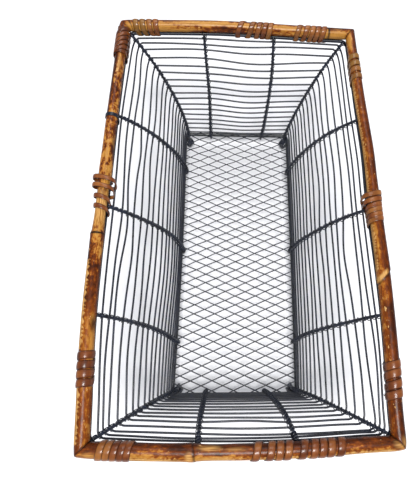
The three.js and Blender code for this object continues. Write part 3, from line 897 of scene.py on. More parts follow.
    def lay_rod(self) -> Strand:
        """Lay the rim rod inside and below the pole, drawn up against it by the cane."""
        s = self.sizes
        half_w, half_l = s.rim_width / 2 - s.rod_inset, s.rim_length / 2 - s.rod_inset
        xy, normal = ring(half_w, half_l, s.rod_corner, s.rod_corner, self.rod_stations)
        xy = xy - Wall.RIGHT.out[:2] * np.where(normal[:, :1] > 0.99, self.rod_bow.at(xy[:, 1:]), 0)
        flat = np.zeros((len(xy), 1))
        path = s.by_hand(np.hstack([xy, flat + s.rod_z]))
        return Strand("rim_rod", path, np.hstack([normal, flat]), s.rod_radius)

    def wall_ribs(self) -> dict[str, tuple[Array, Array]]:
        """Draw the ribs of the four walls, each from a toe hooked under the base rod up to the rim rod.

        Returns:
            Stations and the way out of the wall, for each rib's name.
        """
        s = self.sizes
        lines = {}
        for wall, rise in zip(Wall, (self.rises()[0], self.rises()[1]) * 2):
            names = {"far": 1, "mid": 0, "near": -1} if wall.is_long else {"left": -1, "right": 1}
            at_base = self.long_rib_at_base if wall.is_long else self.end_rib_at_base
            at_rim = self.long_rib_at_rim if wall.is_long else self.end_rib_at_rim
            base_half = rise.foot + s.rib_off_base
            z = np.linspace(s.base_z, rise.top_z + 0.6, self.rib_steps)
            angle = np.linspace(np.pi + self.toe_turn, np.pi, self.toe_steps)[:-1]
            out = np.concatenate([base_half + s.rib_off_base * np.cos(angle), rise.out(z)])
            up = np.concatenate([s.base_z + s.rib_off_base * np.sin(angle), z])
            share = np.clip((up - s.base_z) / (s.rod_z - s.base_z), 0, 1)
            for name, way in names.items():
                name = f"{wall.name.lower()}_{name}"
                foot = way * at_base + self.foot_shift.get(name, 0.0)
                head = way * at_rim + self.rim_shift.get(name, 0.0)
                side = foot + (head - foot) * share + 0.5 * np.sin(share * 7 + way * 2 + wall.value[0])
                line = out[:, None] * wall.out + side[:, None] * wall.along + up[:, None] * UP
                lines[name] = (s.by_hand(evenly(line, self.wall_rib_stations)), wall.out)
        return lines

    def corner_ribs(self) -> dict[str, tuple[Array, Array]]:
        """Draw the corner ribs, each from a scrolled foot up to the corner of the rim rod.

        Formula: the scroll is a coil whose radius grows from its free end and whose turns lie side by side,
        and the rib slants out from its inner side to the base rod as an eased step.

        Returns:
            Stations and the way out of the corner, for each rib's name.
        """
        s = self.sizes
        long, end, corner = self.rises()
        foot_z = self.foot_radius + 1.7 - self.foot_flat
        z = np.linspace(s.base_z, corner.top_z, self.rib_steps)
        low = np.clip(z, s.base_z, min(long.top_z, end.top_z))
        side = (long.out(low) - end.out(low)) * math.sqrt(0.5)
        angle = np.linspace(np.pi + self.foot_turn, np.pi, self.foot_steps)
        curl = self.foot_radius * np.linspace(0.8, 1, self.foot_steps)
        centre = corner.foot + self.foot_outside_rib
        step = np.linspace(0, 1, 20)[1:-1]
        inner = centre - self.foot_radius
        ease = step * step * (3 - 2 * step)
        stem = inner + (corner.foot - inner) * ease
        out = np.concatenate([centre + curl * np.cos(angle), stem, corner.out(z)])
        up = np.concatenate([foot_z + curl * np.sin(angle), foot_z + (s.base_z - foot_z) * step, z])
        drift = self.foot_pitch * (np.pi + self.foot_turn / 2 - angle) / (2 * np.pi)
        side = np.concatenate([side[0] + drift, side[0] + drift[-1] * (1 - ease), side])
        lines = {}
        ways = {"far_left": (-1, 1), "far_right": (1, 1), "near_left": (-1, -1), "near_right": (1, -1)}
        for name, (x, y) in ways.items():
            out_way = np.array([x, y, 0]) * math.sqrt(0.5)
            along = np.array([x, -y, 0]) * math.sqrt(0.5)
            line = out[:, None] * out_way + side[:, None] * along + up[:, None] * UP
            lines[f"corner_{name}"] = (s.by_hand(evenly(line, self.corner_rib_stations)), out_way)
        return lines

    def tie(self, rib: Array, out_way: Array, strands: list[Strand]) -> tuple[Array, Array]:
        """Wind a tie wire up a rib, once round rib and hoop at every hoop and round the rib between.

        Formula: at turn t the wire stands at angle 2 pi t round the rib, at a distance of rib plus wire
        beside it, and on the outer side of a tie it reaches past the hoop. Height along the rib is read
        from a table that steps across each hoop within the half turn that crosses it.

        Args:
            rib: Stations of the rib, from the foot up.
            out_way: Way out of the rib's wall.
            strands: Hoops and rod, from the lowest up.

        Returns:
            Stations of the tie wire, and the way from the rib's centre at each.
        """
        s = self.sizes
        climbed = walked_length(rib)
        ties, reach, cross = np.empty((3, len(strands)))
        for k, strand in enumerate(strands):
            gaps = np.linalg.norm(rib[:, None] - strand.path[None], axis=2)
            station, on_strand = np.unravel_index(np.argmin(gaps), gaps.shape)
            ties[k] = climbed[station]
            cross[k] = strand.radius + s.tie_radius + 0.1
            reach[k] = gaps[station, on_strand] + strand.radius + s.tie_radius + 0.05
        spans = np.maximum(np.diff(ties) - cross[1:] - cross[:-1], 0)
        turns = np.concatenate([[1], 1 + np.cumsum(np.maximum(1, np.round(spans / self.tie_pitch + 0.4)))])
        knots = np.column_stack([turns - 0.25, turns + 0.25]).ravel()
        climbs = np.maximum.accumulate(np.column_stack([ties - cross, ties + cross]).ravel())
        knots = np.concatenate([[0], knots, [knots[-1] + 0.5]])
        climbs = np.concatenate([[climbs[0] - self.tie_start], climbs, climbs[-1:] + 0.4])
        turn = np.arange(knots[0], knots[-1], 1 / self.tie_steps)
        along = np.interp(turn, knots, np.minimum(climbs, climbed[-1]))
        centre = np.stack([np.interp(along, climbed, rib[:, k]) for k in range(3)], 1)
        heading = headings(rib, False)
        forward = unit(np.stack([np.interp(along, climbed, heading[:, k]) for k in range(3)], 1))
        outward = unit(out_way - (forward @ out_way)[:, None] * forward)
        across = np.cross(forward, outward)
        angle = 2 * np.pi * turn
        beside = s.rib_radius + s.tie_radius
        nearest = np.argmin(np.abs(turn[:, None] - turns), axis=1)
        crossing = np.abs(turn - turns[nearest]) < 0.25
        out = np.where(crossing, reach[nearest], beside) * np.cos(angle)
        side = np.where(crossing, self.tie_swell, 1.0) * beside * np.sin(angle)
        radial = outward * out[:, None] + across * side[:, None]
        return centre + radial, unit(radial)

    def build(self, finish: bpy.types.Material, rim: "BambooRim") -> None:
        """Make the hoops, the rim rod, the ribs and the tie wires.

        Args:
            finish: Material of the wire.
            rim: The pole, which some tie wires are looped round.
        """
        s = self.sizes
        hoops, rod = self.lay_hoops(), self.lay_rod()
        for strand in hoops:
            section = round_section(strand.radius, self.hoop_sides)
            skin = carry(section, strand.path, strand.normal, closed=True)
            seat(raise_mesh(f"wall_{strand.name}", skin, closed=True), finish, Slot.WIRE, strand.name)
        skin = carry(round_section(rod.radius, self.rib_sides), rod.path, rod.normal, closed=True)
        seat(raise_mesh("wall_rim_rod", skin, closed=True), finish, Slot.WIRE, rod.name)
        for name, (line, out_way) in (self.wall_ribs() | self.corner_ribs()).items():
            sideways = np.cross(out_way, UP)
            skin = carry(round_section(s.rib_radius, self.rib_sides), line, sideways, scale=blunt(len(line)))
            skin[..., 2] = np.maximum(skin[..., 2], 0.0)
            seat(raise_mesh(f"wall_rib_{name}", skin), finish, Slot.WIRE, f"rib_{name}")
            wire, radial = self.tie(line, out_way, [*hoops, rod])
            if name in self.looped:
                start = line[-1] @ Wall.LEFT.along - self.loop_offset
                places = (start, -2.1 * s.tie_radius)
                loop, away = rim.band(Wall.LEFT, places, self.loop_turns, 1.1 * s.tie_radius)
                wire, radial = np.vstack([wire, loop]), np.vstack([radial, away])
            skin = carry(round_section(s.tie_radius, self.tie_sides), wire, radial, scale=blunt(len(wire)))
            seat(raise_mesh(f"tie_wire_{name}", skin), finish, Slot.WIRE, f"lashing_{name}")


@dataclass
class BasketBase:
    """Base frame rod and the diamond mesh on it."""

    sizes: BasketSizes
    strand_radius: float = 0.7
    diamond_across: float = 25.7
    diamond_along: float = 11.42
    crossing_at: tuple[float, float] = (-53.3, 30.9)
    strand_stations: int = 110
    strand_sides: int = 6
    frame_stations: int = 720
    frame_sides: int = 14
    mesh_lift: float = 3.7

    def strands(self) -> Array:
        """Lay two sets of slanting strands that pass over and under each other.

        Formula: a strand runs through every crossing on its slant, y = shift +- slope * x, is cut where it
        leaves the base, and waves in height as a cosine of the crossings that it has passed.

        Returns:
            Stations, shaped (strands, stations, 3).
        """
        s = self.sizes
        half_w, half_l = s.base_width / 2 + 0.5, s.base_length / 2 + 0.5
        slope = self.diamond_along / self.diamond_across
        count = int((half_l + slope * half_w) // self.diamond_along) + 3
        paths = []
        for way in (1, -1):
            through = self.crossing_at[1] - way * slope * self.crossing_at[0]
            shifts = through + np.arange(-2 * count, 2 * count) * self.diamond_along
            ends = np.stack([-half_l - shifts, half_l - shifts]) / (way * slope)
            ends = np.sort(ends, axis=0)
            low, high = np.maximum(-half_w, ends[0]), np.minimum(half_w, ends[1])
            keep = high - low > 4
            low, high, shifts = low[keep, None], high[keep, None], shifts[keep, None]
            x = low + (high - low) * np.linspace(0, 1, self.strand_stations)
            y = shifts + way * slope * x
            passed = (x - self.crossing_at[0]) * 2 / self.diamond_across
            number = np.round((shifts - through) / self.diamond_along)
            wave = np.cos(np.pi * (passed + number))
            z = s.base_z + self.mesh_lift + way * 0.9 * self.strand_radius * wave
            paths.append(np.stack([x, y, z], -1))
        return s.by_hand(np.concatenate(paths))

    def build(self, finish: bpy.types.Material, altered: bpy.types.Material) -> None:
        """Make the base frame and the mesh.

        Args:
            finish: Material of the mesh.
            altered: Material of the frame, a greyer and lighter black than the mesh, even all along it.
        """
        s = self.sizes
        halves = s.base_width / 2, s.base_length / 2
        xy, normal = ring(*halves, s.base_corner, s.base_corner, self.frame_stations)
        flat = np.zeros((len(xy), 1))
        path = s.by_hand(np.hstack([xy, flat + s.base_z]))
        section = round_section(s.base_rod_radius, self.frame_sides)
        skin = carry(section, path, np.hstack([normal, flat]), closed=True)
        seat(raise_mesh("base_frame_rod", skin, closed=True), altered, Slot.WIRE, "base_frame")
        skin = carry(round_section(self.strand_radius, self.strand_sides), self.strands(), UP)
        seat(raise_mesh("base_diamond_mesh", skin), finish, Slot.WIRE, "base_lattice")


@dataclass(frozen=True)
class Blot:
    """A soft oval mark on the culm.

    Formula: amount * (1 - far^2)^2 inside far < 1, where far^2 adds the squared shares of its reach along
    the culm and round it, and round is -1 on the inside of the basket and 1 on the outside.
    """

    wall: Wall
    mark: Mark
    amount: float
    place: float
    reach: float
    round: float = 0.0
    spread: float = 3.0

    def shown(self, place: Array, round_way: Array) -> Array:
        """How much of the mark shows at places along the wall and round the culm."""
        far = ((place - self.place) / self.reach) ** 2 + ((round_way - self.round) / self.spread) ** 2
        return self.amount * np.clip(1 - far, 0, 1) ** 2


@dataclass(frozen=True)
class Nicks:
    """A row of pale nicks that a knife left along one edge of the culm.

    Formula: bare wood shows where round passes edge by depth times a saw wave of the place along the wall,
    and a slow sine makes the nicks uneven.
    """

    wall: Wall
    start: float
    end: float
    edge: float
    depth: float = 0.3
    pitch: float = 4.6
    soft: float = 0.1

    def shown(self, place: Array, round_way: Array) -> Array:
        """How bare the culm is, from 0 to 1, at places along the wall and round the culm."""
        within = np.clip(place - self.start, 0, 1) * np.clip(self.end - place, 0, 1)
        saw = np.abs(2 * ((place + 1.6 * np.sin(0.31 * place)) / self.pitch % 1) - 1)
        past = (round_way - self.edge) * np.sign(self.edge) - self.depth * saw
        return within * np.clip(past / self.soft, 0, 1)


@dataclass(frozen=True)
class Lap:
    """A joint where one culm ends in a slanting cut on the next.

    Formula: the cut's edge lies at place + skew * round along the wall. Past the edge the culm stands
    proud by step, with cut wood over the length of bare, and a dark line lies before it.
    """

    wall: Wall
    place: float
    skew: float
    step: float
    bare: float


@dataclass
class BambooRim:
    """The bamboo pole that runs all round, mitred at its four corners."""

    sizes: BasketSizes
    sides: int = 36
    step_mm: float = 0.9
    mitre_mm: float = 14.0
    # Radius of the culm along each wall
    radius: dict[Wall, Table] = field(default_factory=lambda: {
        Wall.LEFT: Table((-214, -170, -100, -36, -32, -30, -26, 10, 17, 22, 60, 150, 214),
                         (6.1, 6.2, 6.0, 6.1, 6.2, 5.6, 5.3, 5.2, 5.3, 5.7, 5.7, 5.5, 5.7)),
        Wall.FAR: Table((-129, 0, 129), (5.7, 5.8, 5.6)),
        Wall.RIGHT: Table((-214, -150, -84, -79, -74, -66, 0, 100, 170, 190, 214),
                          (6.1, 6.1, 6.0, 6.0, 6.0, 5.8, 5.5, 5.5, 5.5, 5.3, 5.6)),
        Wall.NEAR: Table((-129, -112, -46, -41, -36, 0, 100, 129),
                         (6.1, 6.6, 6.9, 7.1, 6.7, 6.5, 6.3, 6.1)),
    })
    # How red the skin is along each wall, and how much more on the outside than on the inside
    redness: dict[Wall, Table] = field(default_factory=lambda: {
        Wall.LEFT: Table((-214, -170, -140, -110, -95, -60, -40, -30, 20, 90, 100, 214),
                         (0.50, 0.50, 0.40, 0.40, 0.58, 0.62, 0.50, 0.32, 0.36, 0.40, 0.46, 0.54)),
        Wall.FAR: Table((-129, -60, 60, 129), (0.42, 0.36, 0.38, 0.50)),
        Wall.RIGHT: Table((-214, -170, -84, -60, 0, 100, 214), (0.70, 0.66, 0.60, 0.63, 0.63, 0.62, 0.58)),
        Wall.NEAR: Table((-129, -110, -90, -48, -36, -14, 8, 129),
                         (0.50, 0.48, 0.46, 0.46, 0.40, 0.44, 0.52, 0.56)),
    })
    outer_red: dict[Wall, float] = field(default_factory=lambda: {
        Wall.LEFT: 0.12, Wall.FAR: 0.55, Wall.RIGHT: 0.24, Wall.NEAR: -0.3})
    # How strongly the fire mottled each wall's culm
    mottle: dict[Wall, Table] = field(default_factory=lambda: {
        Wall.LEFT: Table((-214, -105, -85, 214), (0.55, 0.55, 0.9, 0.9)), Wall.FAR: Table((0,), (0.9,)),
        Wall.RIGHT: Table((0,), (0.55,)), Wall.NEAR: Table((0,), (0.75,))})
    # How far the outer edge of each corner stands out, and how dark its seam is, named by the wall before it
    corner_edge: dict[Wall, float] = field(default_factory=lambda: {
        Wall.LEFT: 0.72, Wall.FAR: 1.0, Wall.RIGHT: 0.8, Wall.NEAR: 0.86})
    corner_seam: dict[Wall, float] = field(default_factory=lambda: {
        Wall.LEFT: 0.5, Wall.FAR: 1.0, Wall.RIGHT: 0.7, Wall.NEAR: 0.9})
    laps: tuple[Lap, ...] = (Lap(Wall.RIGHT, -72.5, 6.5, 0.75, 6.0), Lap(Wall.NEAR, -39.0, 0.8, -0.3, 0.0))
    nicks: tuple[Nicks, ...] = (
        Nicks(Wall.LEFT, -137, -58, 0.2, 0.42), Nicks(Wall.LEFT, -208, -167, 0.2, 0.42),
        Nicks(Wall.NEAR, -90, -52, 0.42, 0.34), Nicks(Wall.NEAR, 12, 122, 0.44, 0.36),
        Nicks(Wall.RIGHT, 12, 148, -0.72, 0.26, 3.6), Nicks(Wall.RIGHT, -68, -20, -0.68, 0.28, 3.6))
    blots: tuple[Blot, ...] = (
        Blot(Wall.LEFT, Mark.BARE, 1.3, -7, 25),
        Blot(Wall.LEFT, Mark.CHAR, 1.2, -33, 1.8),
        Blot(Wall.LEFT, Mark.CHAR, 0.7, -130, 30, 1.05, 0.35),
        Blot(Wall.LEFT, Mark.CHAR, 0.7, -80, 40, 1.05, 0.4),
        Blot(Wall.LEFT, Mark.CHAR, 0.6, 60, 25, -1.0, 0.5),
        Blot(Wall.LEFT, Mark.CHAR, 0.8, -115, 10, -0.9, 0.5),
        Blot(Wall.RIGHT, Mark.CHAR, 0.5, -40, 60, 1.1, 0.5),
        Blot(Wall.RIGHT, Mark.RED, -0.2, -35, 38, -0.6, 0.4),
        Blot(Wall.RIGHT, Mark.RED, 0.35, -110, 25, 0.5, 0.9),
        Blot(Wall.RIGHT, Mark.RED, -0.35, 200, 20, -0.5, 0.7),
        Blot(Wall.NEAR, Mark.BARE, 0.5, -121, 9, 0.5, 0.5),
        Blot(Wall.NEAR, Mark.BARE, 0.7, 127, 7, 0.2, 0.9),
        Blot(Wall.RIGHT, Mark.BARE, 0.6, -211, 6, 0.5, 0.6),
        Blot(Wall.LEFT, Mark.RED, 0.5, -188, 45, 0.95, 0.4),
        Blot(Wall.NEAR, Mark.BARE, 1.1, -43.5, 4.5, 0.4, 0.8),
        Blot(Wall.NEAR, Mark.BARE, 0.9, -27, 13, -0.6, 0.45),
        Blot(Wall.NEAR, Mark.BARE, 0.6, -6, 12, -0.45, 0.3),
        Blot(Wall.NEAR, Mark.BARE, 0.8, -20, 17, 0.65, 0.4),
        Blot(Wall.NEAR, Mark.RED, 0.5, -20, 16, 0.05, 0.3),
        Blot(Wall.NEAR, Mark.CHAR, 0.5, 112, 7, -0.2, 0.6),
        Blot(Wall.LEFT, Mark.CHIP, 1.0, -85, 62, 0.62, 0.24),
        Blot(Wall.LEFT, Mark.RED, 0.3, -110, 120, 0.72, 0.4),
        Blot(Wall.LEFT, Mark.CHIP, 1.1, -188, 32, 0.62, 0.24),
        Blot(Wall.LEFT, Mark.CHIP, 0.7, 150, 45, -0.1, 0.6),
        Blot(Wall.LEFT, Mark.BARE, 0.75, 160, 18, -0.3, 0.5),
        Blot(Wall.LEFT, Mark.RED, 0.4, 150, 45, 0.55, 0.5),
        Blot(Wall.RIGHT, Mark.CHIP, 0.8, -120, 50, -0.6, 0.35),
        Blot(Wall.NEAR, Mark.CHIP, 1.2, -72, 26, 0.78, 0.3),
        Blot(Wall.NEAR, Mark.CHIP, 0.9, -15, 25, 0.7, 0.4),
        Blot(Wall.FAR, Mark.CHAR, 1.1, 103.5, 2.2),
        Blot(Wall.FAR, Mark.RED, 0.6, 115, 14, 0.6, 0.7),
        Blot(Wall.FAR, Mark.CHAR, 0.8, -122, 2.0),
        Blot(Wall.FAR, Mark.BARE, 0.35, 113, 9, -0.2, 0.7),
        Blot(Wall.FAR, Mark.RED, 0.8, 0, 125, -0.9, 0.35),
        Blot(Wall.FAR, Mark.RED, -0.2, 0, 130, -0.25, 0.4),
        # Painted highlight: pale wood along the crown of the far pole's left half stands for the soft
        # highlight that lies there
        Blot(Wall.FAR, Mark.BARE, 0.5, -48, 60, -0.1, 0.6),
    )

    def walls(self) -> list[tuple[Wall, Array, float, float]]:
        """The walls in the pole's order: way forward, half length and distance from the middle."""
        s = self.sizes
        size = {True: (s.rim_length / 2, s.rim_width / 2), False: (s.rim_width / 2, s.rim_length / 2)}
        return [(wall, np.cross(wall.out, UP), *size[wall.is_long]) for wall in Wall]

    def skin(self) -> tuple[Array, dict[str, Array]]:
        """Skin the pole with straight culms that meet on the mitre planes.

        Formula: a point lies at distance + offset out, at pole height + radius * cos angle up, and along
        the wall at its place + offset * ease towards the ends, where offset is radius * sin angle; at a
        corner the ease is one, so both walls reach the same mitre.

        Returns:
            Grid of points, and the marks on it.
        """
        s = self.sizes
        angle = np.arange(self.sides) * 2 * np.pi / self.sides
        up, round_way = np.cos(angle), np.sin(angle)
        skins, marks = [], {"culm": [], "mottle": [], **{mark.value: [] for mark in Mark}}
        walked = 0.0
        order = list(Wall)
        for number, (wall, forward, half, distance) in enumerate(self.walls()):
            close = half - np.array([0.0, 0.25, 0.6, 1.1, 1.8, 2.6])
            even = np.arange(-half + 3.3, half - 3.3, self.step_mm)
            ahead = np.concatenate([-close, even, close[:0:-1]])[:, None]
            place = ahead * (forward @ wall.along)
            to_end = half - np.abs(ahead)
            corner = np.where(ahead > 0, 1.0, 0.0)
            edge = np.where(corner, self.corner_edge[wall], self.corner_edge[order[number - 1]])
            seam = np.where(corner, self.corner_seam[wall], self.corner_seam[order[number - 1]])
            radius = self.radius[wall].at(place) * (1 - 0.07 * np.exp(-(to_end / 0.9) ** 2))
            shape = np.broadcast_shapes(radius.shape, round_way.shape)
            level = {mark: np.zeros(shape) for mark in Mark}
            for lap in self.laps:
                if lap.wall is wall:
                    past = place - lap.place - lap.skew * round_way
                    proud = np.clip(past / 0.8 + 0.5, 0, 1) * np.clip(2.5 - past / 40, 0, 1)
                    radius = radius + lap.step * proud
                    level[Mark.CHAR] += 0.9 * np.exp(-((past + 0.8) / 0.8) ** 2)
                    cut = np.clip(past, 0, 1) * np.clip((lap.bare - past) / 1.5, 0, 1)
                    level[Mark.BARE] += (lap.bare > 0) * cut * (round_way < 0.3)
            offset = radius * round_way
            offset = offset * np.where(round_way > 0, 1 - (1 - edge) * np.exp(-(to_end / 4.0) ** 2), 1.0)
            ease = np.clip(1 - to_end / self.mitre_mm, 0, 1)
            along = ahead + np.sign(ahead) * offset * ease * ease * (3 - 2 * ease)
            point = ((distance + offset)[..., None] * wall.out + along[..., None] * forward
                     + (s.pole_z + radius * up)[..., None] * UP)
            skins.append(point)
            marks["culm"].append(np.stack([
                np.broadcast_to(walked + ahead + half, shape), radius * up, radius * round_way], -1))
            marks["mottle"].append(np.broadcast_to(self.mottle[wall].at(place), shape))
            walked += 2 * half
            level[Mark.RED] += self.redness[wall].at(place) + self.outer_red[wall] * round_way
            level[Mark.CHAR] += 0.9 * seam * np.exp(-(to_end / 0.9) ** 2)
            for nicks in self.nicks:
                if nicks.wall is wall:
                    level[Mark.BARE] += 1.2 * nicks.shown(place, round_way)
            for blot in self.blots:
                if blot.wall is wall:
                    level[blot.mark] += blot.shown(place, round_way)
            for mark in Mark:
                marks[mark.value].append(np.clip(level[mark], -0.5, 1.5))
        joined = {mark: np.concatenate(parts) for mark, parts in marks.items()}
        return s.by_hand(np.concatenate(skins)), joined

    def outline(self, radius: float, lift: float, count: int = 240) -> tuple[Array, Array, float]:
        """Outline of a band round pole and rod together, as out and up from the pole's centre.

        Formula: for each heading the outline is the further of the pole's and the rod's circles in that
        heading, walked at even steps from the lowest point, outwards and over the top.

        Args:
            radius: Radius of the pole there.
            lift: Height of the band's middle over what it wraps.
            count: How many stations one turn has.

        Returns:
            Stations and outward directions, both shaped (count, 2), and the share of a turn at the top.
        """
        s = self.sizes
        heading = -np.pi / 2 + np.linspace(0, 2 * np.pi, 1441)
        way = np.stack([np.cos(heading), np.sin(heading)], 1)
        rod = np.array([-s.rod_inset, -s.rod_drop])
        on_rod = way @ rod + s.rod_radius > radius
        points = np.where(on_rod[:, None], rod + (s.rod_radius + lift) * way, (radius + lift) * way)
        walked = walked_length(points)
        steps = np.linspace(0, walked[-1], count, endpoint=False)
        walk = np.stack([np.interp(steps, walked, column) for column in np.hstack([points, way]).T], 1)
        return walk[:, :2], unit(walk[:, 2:]), float(np.interp(np.pi / 2, heading, walked) / walked[-1])

    def band(
        self, wall: Wall, places: tuple[float, float], turns: float, lift: float, steps: int = 40
    ) -> tuple[Array, Array]:
        """Wind a plain band round pole and rod.

        Args:
            wall: Wall that it is on.
            places: Where it starts along the wall, and how far each turn moves on.
            turns: How many turns it takes.
            lift: Height of the band's middle over what it wraps.
            steps: Stations in a turn.

        Returns:
            Stations and outward directions.
        """
        s = self.sizes
        outline, way, _ = self.outline(float(self.radius[wall].at(np.array(places[0]))), lift)
        turn = np.arange(0, turns + 1e-6, 1 / steps)
        index = (turn * len(outline)).astype(int) % len(outline)
        distance = (s.rim_width if wall.is_long else s.rim_length) / 2
        path = ((distance + outline[index, :1]) * wall.out + (s.pole_z + outline[index, 1:]) * UP
                + (places[0] + places[1] * turn)[:, None] * wall.along)
        return s.by_hand(path), way[index, :1] * wall.out + way[index, 1:] * UP

    def build(self, finish: bpy.types.Material) -> None:
        """Make the pole.

        Args:
            finish: Material of the pole.
        """
        skin, marks = self.skin()
        piece = raise_mesh("bamboo_pole_ring", skin, closed=True, marks=marks)
        seat(piece, finish, Slot.BAMBOO, "bamboo_rim")


@dataclass(frozen=True)
class Winding:
    """One cane binding.

    Places are where its turns pass over the top of the pole, along the wall. Slant is the share of each
    step that is taken on the upper half. Loose and lift are how far each turn stands off at the pole's
    sides and all round, tails are how far its two ends stick out, inward is how much more it is loose on
    the inside of the basket, and tone runs from -1 for dark to 1 for tan.
    """

    wall: Wall
    places: tuple[float, ...]
    width: float = 5.6
    slant: float = 0.5
    tone: float = 0.0
    loose: tuple[float, ...] = (0.0,)
    lift: tuple[float, ...] = (0.0,)
    tails: tuple[float, float] = (0.0, 0.0)
    inward: float = 0.0


@dataclass
class CaneBindings:
    """Strips of split cane that bind the bamboo pole to the rim rod."""

    sizes: BasketSizes
    rim: BambooRim
    thickness: float = 0.9
    steps_per_turn: int = 64
    windings: dict[str, Winding] = field(default_factory=lambda: {
        "far_left": Winding(Wall.FAR, (-115.5, -108, -100.5, -93.5), 5.8, 0.5, 0.6),
        "far_mid": Winding(Wall.FAR, (36.6, 30.6, 24.0, 16.0, 3.3), 5.8, 1.3, 0.15, tails=(1.0, 2.6)),
        "far_right": Winding(Wall.FAR, (98.0, 91.4, 85.4, 78.7, 69.6), 5.8, 1.3, 0.15, tails=(1.0, 2.6)),
        "left_far": Winding(Wall.LEFT, (203, 197, 191, 185, 179, 174, 177, 183, 189, 195, 201),
                            5.0, 4.0, -0.7, lift=(0, 0, 0, 0, 0, 0.4, 1, 1, 1, 1, 1)),
        "left_mid": Winding(Wall.LEFT, (23, 14.5, 3.5, -6.5), 4.6, 1.1, 0.3, (4.8, 4.4, 1.4, 0.8),
                            tails=(2.0, 8.0)),
        "left_near": Winding(Wall.LEFT, (-163.6, -156.4, -149.2, -141.4), 6.6, 0.5, -0.35),
        "near_left": Winding(Wall.NEAR, (-113, -107.5, -102, -96.5, -91.5), 5.6, 1.6, 0.1),
        "near_right": Winding(Wall.NEAR, (10.7, 22, 29.3, 36.2, 48.6, 57.5, 64.4, 71.2, 79.3),
                              6.2, 0.8, -0.4),
        "right_far": Winding(Wall.RIGHT, (178.5, 169.5, 161.5, 152.5), 7.0, 0.7, 1.0),
        "right_mid": Winding(Wall.RIGHT, (10.5, 4.5, -1.0, -5.8, -11, -15.8), 5.4, 1.9, 0.55,
                             (3.6, 3.0, 1.6, 1.3, 1.2, 1.1), tails=(1.0, 3.0), inward=0.6),
        "right_near": Winding(Wall.RIGHT, (-151.5, -158.5, -167.5, -175.5), 7.0, 1.2, 0.0),
    })

    def section(self, width: float) -> Array:
        """Section of a strip: a crowned top and a flat back, as (across, up)."""
        across = np.linspace(1, -1, 11)
        top = np.stack([width / 2 * across, self.thickness * (0.5 - 0.55 * np.abs(across) ** 3)], 1)
        back = np.linspace(-1, 1, 5)[1:-1]
        under = np.stack([0.9 * width / 2 * back, np.full(3, -self.thickness / 2)], 1)
        return np.vstack([top, under])

    def wind(self, winding: Winding) -> tuple[Array, Array]:
        """Lay the middle of a strip round pole and rod.

        Formula: the strip follows the band's outline at even speed; its place along the wall is read from
        a table with two entries for each turn, where it comes up over the pole and where it leaves it.

        Args:
            winding: The binding.

        Returns:
            Stations and the way that the strip's face looks there.
        """
        s, wall = self.sizes, winding.wall
        places = np.array(winding.places)
        radius = float(self.rim.radius[wall].at(places.mean()))
        outline, way, top = self.rim.outline(radius, 0.55 * self.thickness)
        turns = len(places)
        turn = np.arange(0, turns + 1e-6, 1 / self.steps_per_turn)
        station = turn * len(outline)
        index = station.astype(int)
        share = (station - index)[:, None]
        here, ahead = index % len(outline), (index + 1) % len(outline)
        band = outline[here] * (1 - share) + outline[ahead] * share
        face = unit(way[here] * (1 - share) + way[ahead] * share)
        step = np.gradient(places) if turns > 1 else np.zeros(1)
        over = np.arange(turns) + top
        knots = np.column_stack([over - 0.22, over + 0.22]).ravel()
        at_knots = np.column_stack([
            places - winding.slant * 0.25 * step, places + winding.slant * 0.25 * step]).ravel()
        place = np.interp(turn, knots, at_knots)
        loose = np.interp(turn, over, np.resize(winding.loose, turns))
        lift = np.interp(turn, over, np.resize(winding.lift, turns))
        off = lift + loose * (0.3 + 0.7 * face[:, 0] ** 2) * (1 - winding.inward * face[:, 0])
        band = band + face * off[:, None]
        distance = (s.rim_width if wall.is_long else s.rim_length) / 2
        path = ((distance + band[:, :1]) * wall.out + place[:, None] * wall.along
                + (s.pole_z + band[:, 1:]) * UP)
        look = face[:, :1] * wall.out + face[:, 1:] * UP
        reach = np.linspace(0, 1, 7)[1:, None]
        first, last = winding.tails
        droop = UP * 0.2
        before = path[0] - (unit(path[1] - path[0]) * first + droop) * reach[::-1]
        after = path[-1] + (unit(path[-1] - path[-2]) * last - droop) * reach
        path = np.vstack([before, path, after])
        look = np.vstack([np.tile(look[0], (6, 1)), look, np.tile(look[-1], (6, 1))])
        return s.by_hand(path), look

    def build(self, finish: bpy.types.Material) -> None:
        """Wind every binding.

        Args:
            finish: Material of the cane.
        """
        for number, (name, winding) in enumerate(self.windings.items()):
            section = self.section(winding.width)
            path, face = self.wind(winding)
            skin = carry(section, path, face, scale=blunt(len(path), (0.25, 0.55, 0.8, 0.95)))
            shape = skin.shape[:2]
            strip = np.stack([
                np.broadcast_to(walked_length(path)[:, None], shape), np.broadcast_to(section[:, 0], shape),
                np.full(shape, 37.0 * number)], -1)
            edge = np.broadcast_to(np.abs(section[:, 0] / (winding.width / 2)) ** 5 * 0.8, shape)
            turns = np.linspace(0, len(winding.places), len(path))
            rng = np.random.default_rng(self.sizes.seed + number)
            shift = rng.uniform(-0.6, 0.6, len(winding.places) + 1)
            stained = winding.tone + np.interp(turns, np.arange(len(shift)), shift)
            tone = np.broadcast_to(stained[:, None], shape)
            piece = raise_mesh(f"cane_{name}", skin, marks={"strip": strip, "edge": edge, "tone": tone})
            seat(piece, finish, Slot.CANE, f"binding_{name}")


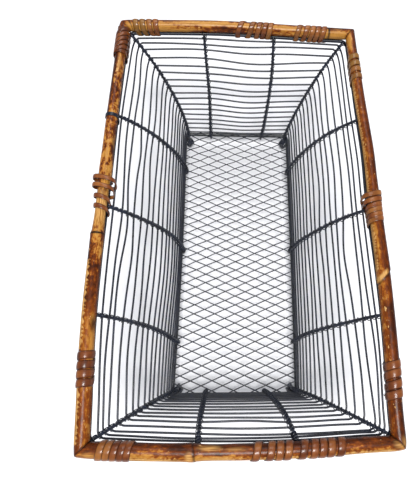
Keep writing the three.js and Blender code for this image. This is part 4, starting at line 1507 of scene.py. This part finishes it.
@dataclass
class Studio:
    """Camera, lights and floor, set as the basket is seen from above its near end."""

    eye: tuple[float, float, float] = (-10.56, -157.09, 504.74)
    turn_deg: tuple[float, float, float] = (16.770, -2.573, -0.451)
    lens: float = 27.62
    sensor: float = 36.0
    shift: tuple[float, float] = (-0.0794, 0.0171)
    floor_half: float = 3.0
    # Place, size and power of each lamp
    lamps: tuple[tuple[str, tuple[float, float, float], float, float], ...] = (
        ("overhead_lamp", (0.03, -0.45, 1.6), 0.55, 28.0), ("fill_lamp", (0.0, 1.1, 1.5), 0.9, 9.0))
    sky: str = "#F4F7FF"
    sky_strength: float = 0.42

    def build(self) -> None:
        """Set up the camera, the lamps, the sky and the floor."""
        scene = bpy.context.scene
        camera = bpy.data.objects.new("camera", bpy.data.cameras.new("camera"))
        camera.location = [v * MM for v in self.eye]
        camera.rotation_euler = [math.radians(v) for v in self.turn_deg]
        camera.data.lens = self.lens
        camera.data.sensor_width = self.sensor
        camera.data.shift_x, camera.data.shift_y = self.shift
        camera.data.clip_start = 0.01
        scene.collection.objects.link(camera)
        scene.camera = camera
        for name, place, size, power in self.lamps:
            lamp = bpy.data.objects.new(name, bpy.data.lights.new(name, "AREA"))
            lamp.data.size = size
            lamp.data.energy = power
            lamp.location = place
            lamp.rotation_euler = (-math.atan2(place[1], place[2]), 0, 0)
            scene.collection.objects.link(lamp)
        world = bpy.data.worlds.new("studio_sky")
        world.use_nodes = True
        scene.world = world
        backdrop = world.node_tree.nodes["Background"]
        backdrop.inputs["Color"].default_value = linear(self.sky)
        backdrop.inputs["Strength"].default_value = self.sky_strength
        reach = self.floor_half
        mesh = bpy.data.meshes.new("studio_floor")
        mesh.from_pydata(
            [(-reach, -reach, 0), (reach, -reach, 0), (reach, reach, 0), (-reach, reach, 0)], [],
            [(0, 1, 2, 3)])
        mesh.materials.append(MattCard().material())
        floor = bpy.data.objects.new("studio_floor", mesh)
        scene.collection.objects.link(floor)
        scene.view_settings.view_transform = "Standard"


def main() -> None:
    """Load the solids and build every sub-assembly round them."""
    logging.basicConfig(level=logging.INFO, format="%(message)s")
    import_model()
    sizes = BasketSizes()
    wire = LacqueredWire().material()
    bamboo = ScorchedBamboo().material()
    cane = StainedCane().material()
    Studio().build()
    rim = BambooRim(sizes)
    rim.build(bamboo)
    WireWalls(sizes).build(wire, rim)
    # The base frame rod gets a greyer, lighter black than the other wires, even all along it
    altered = LacqueredWire("worn black lacquered iron wire", "#101416", "#24292B")
    BasketBase(sizes).build(wire, altered.material())
    CaneBindings(sizes, rim).build(cane)


if __name__ == "__main__":
    main()
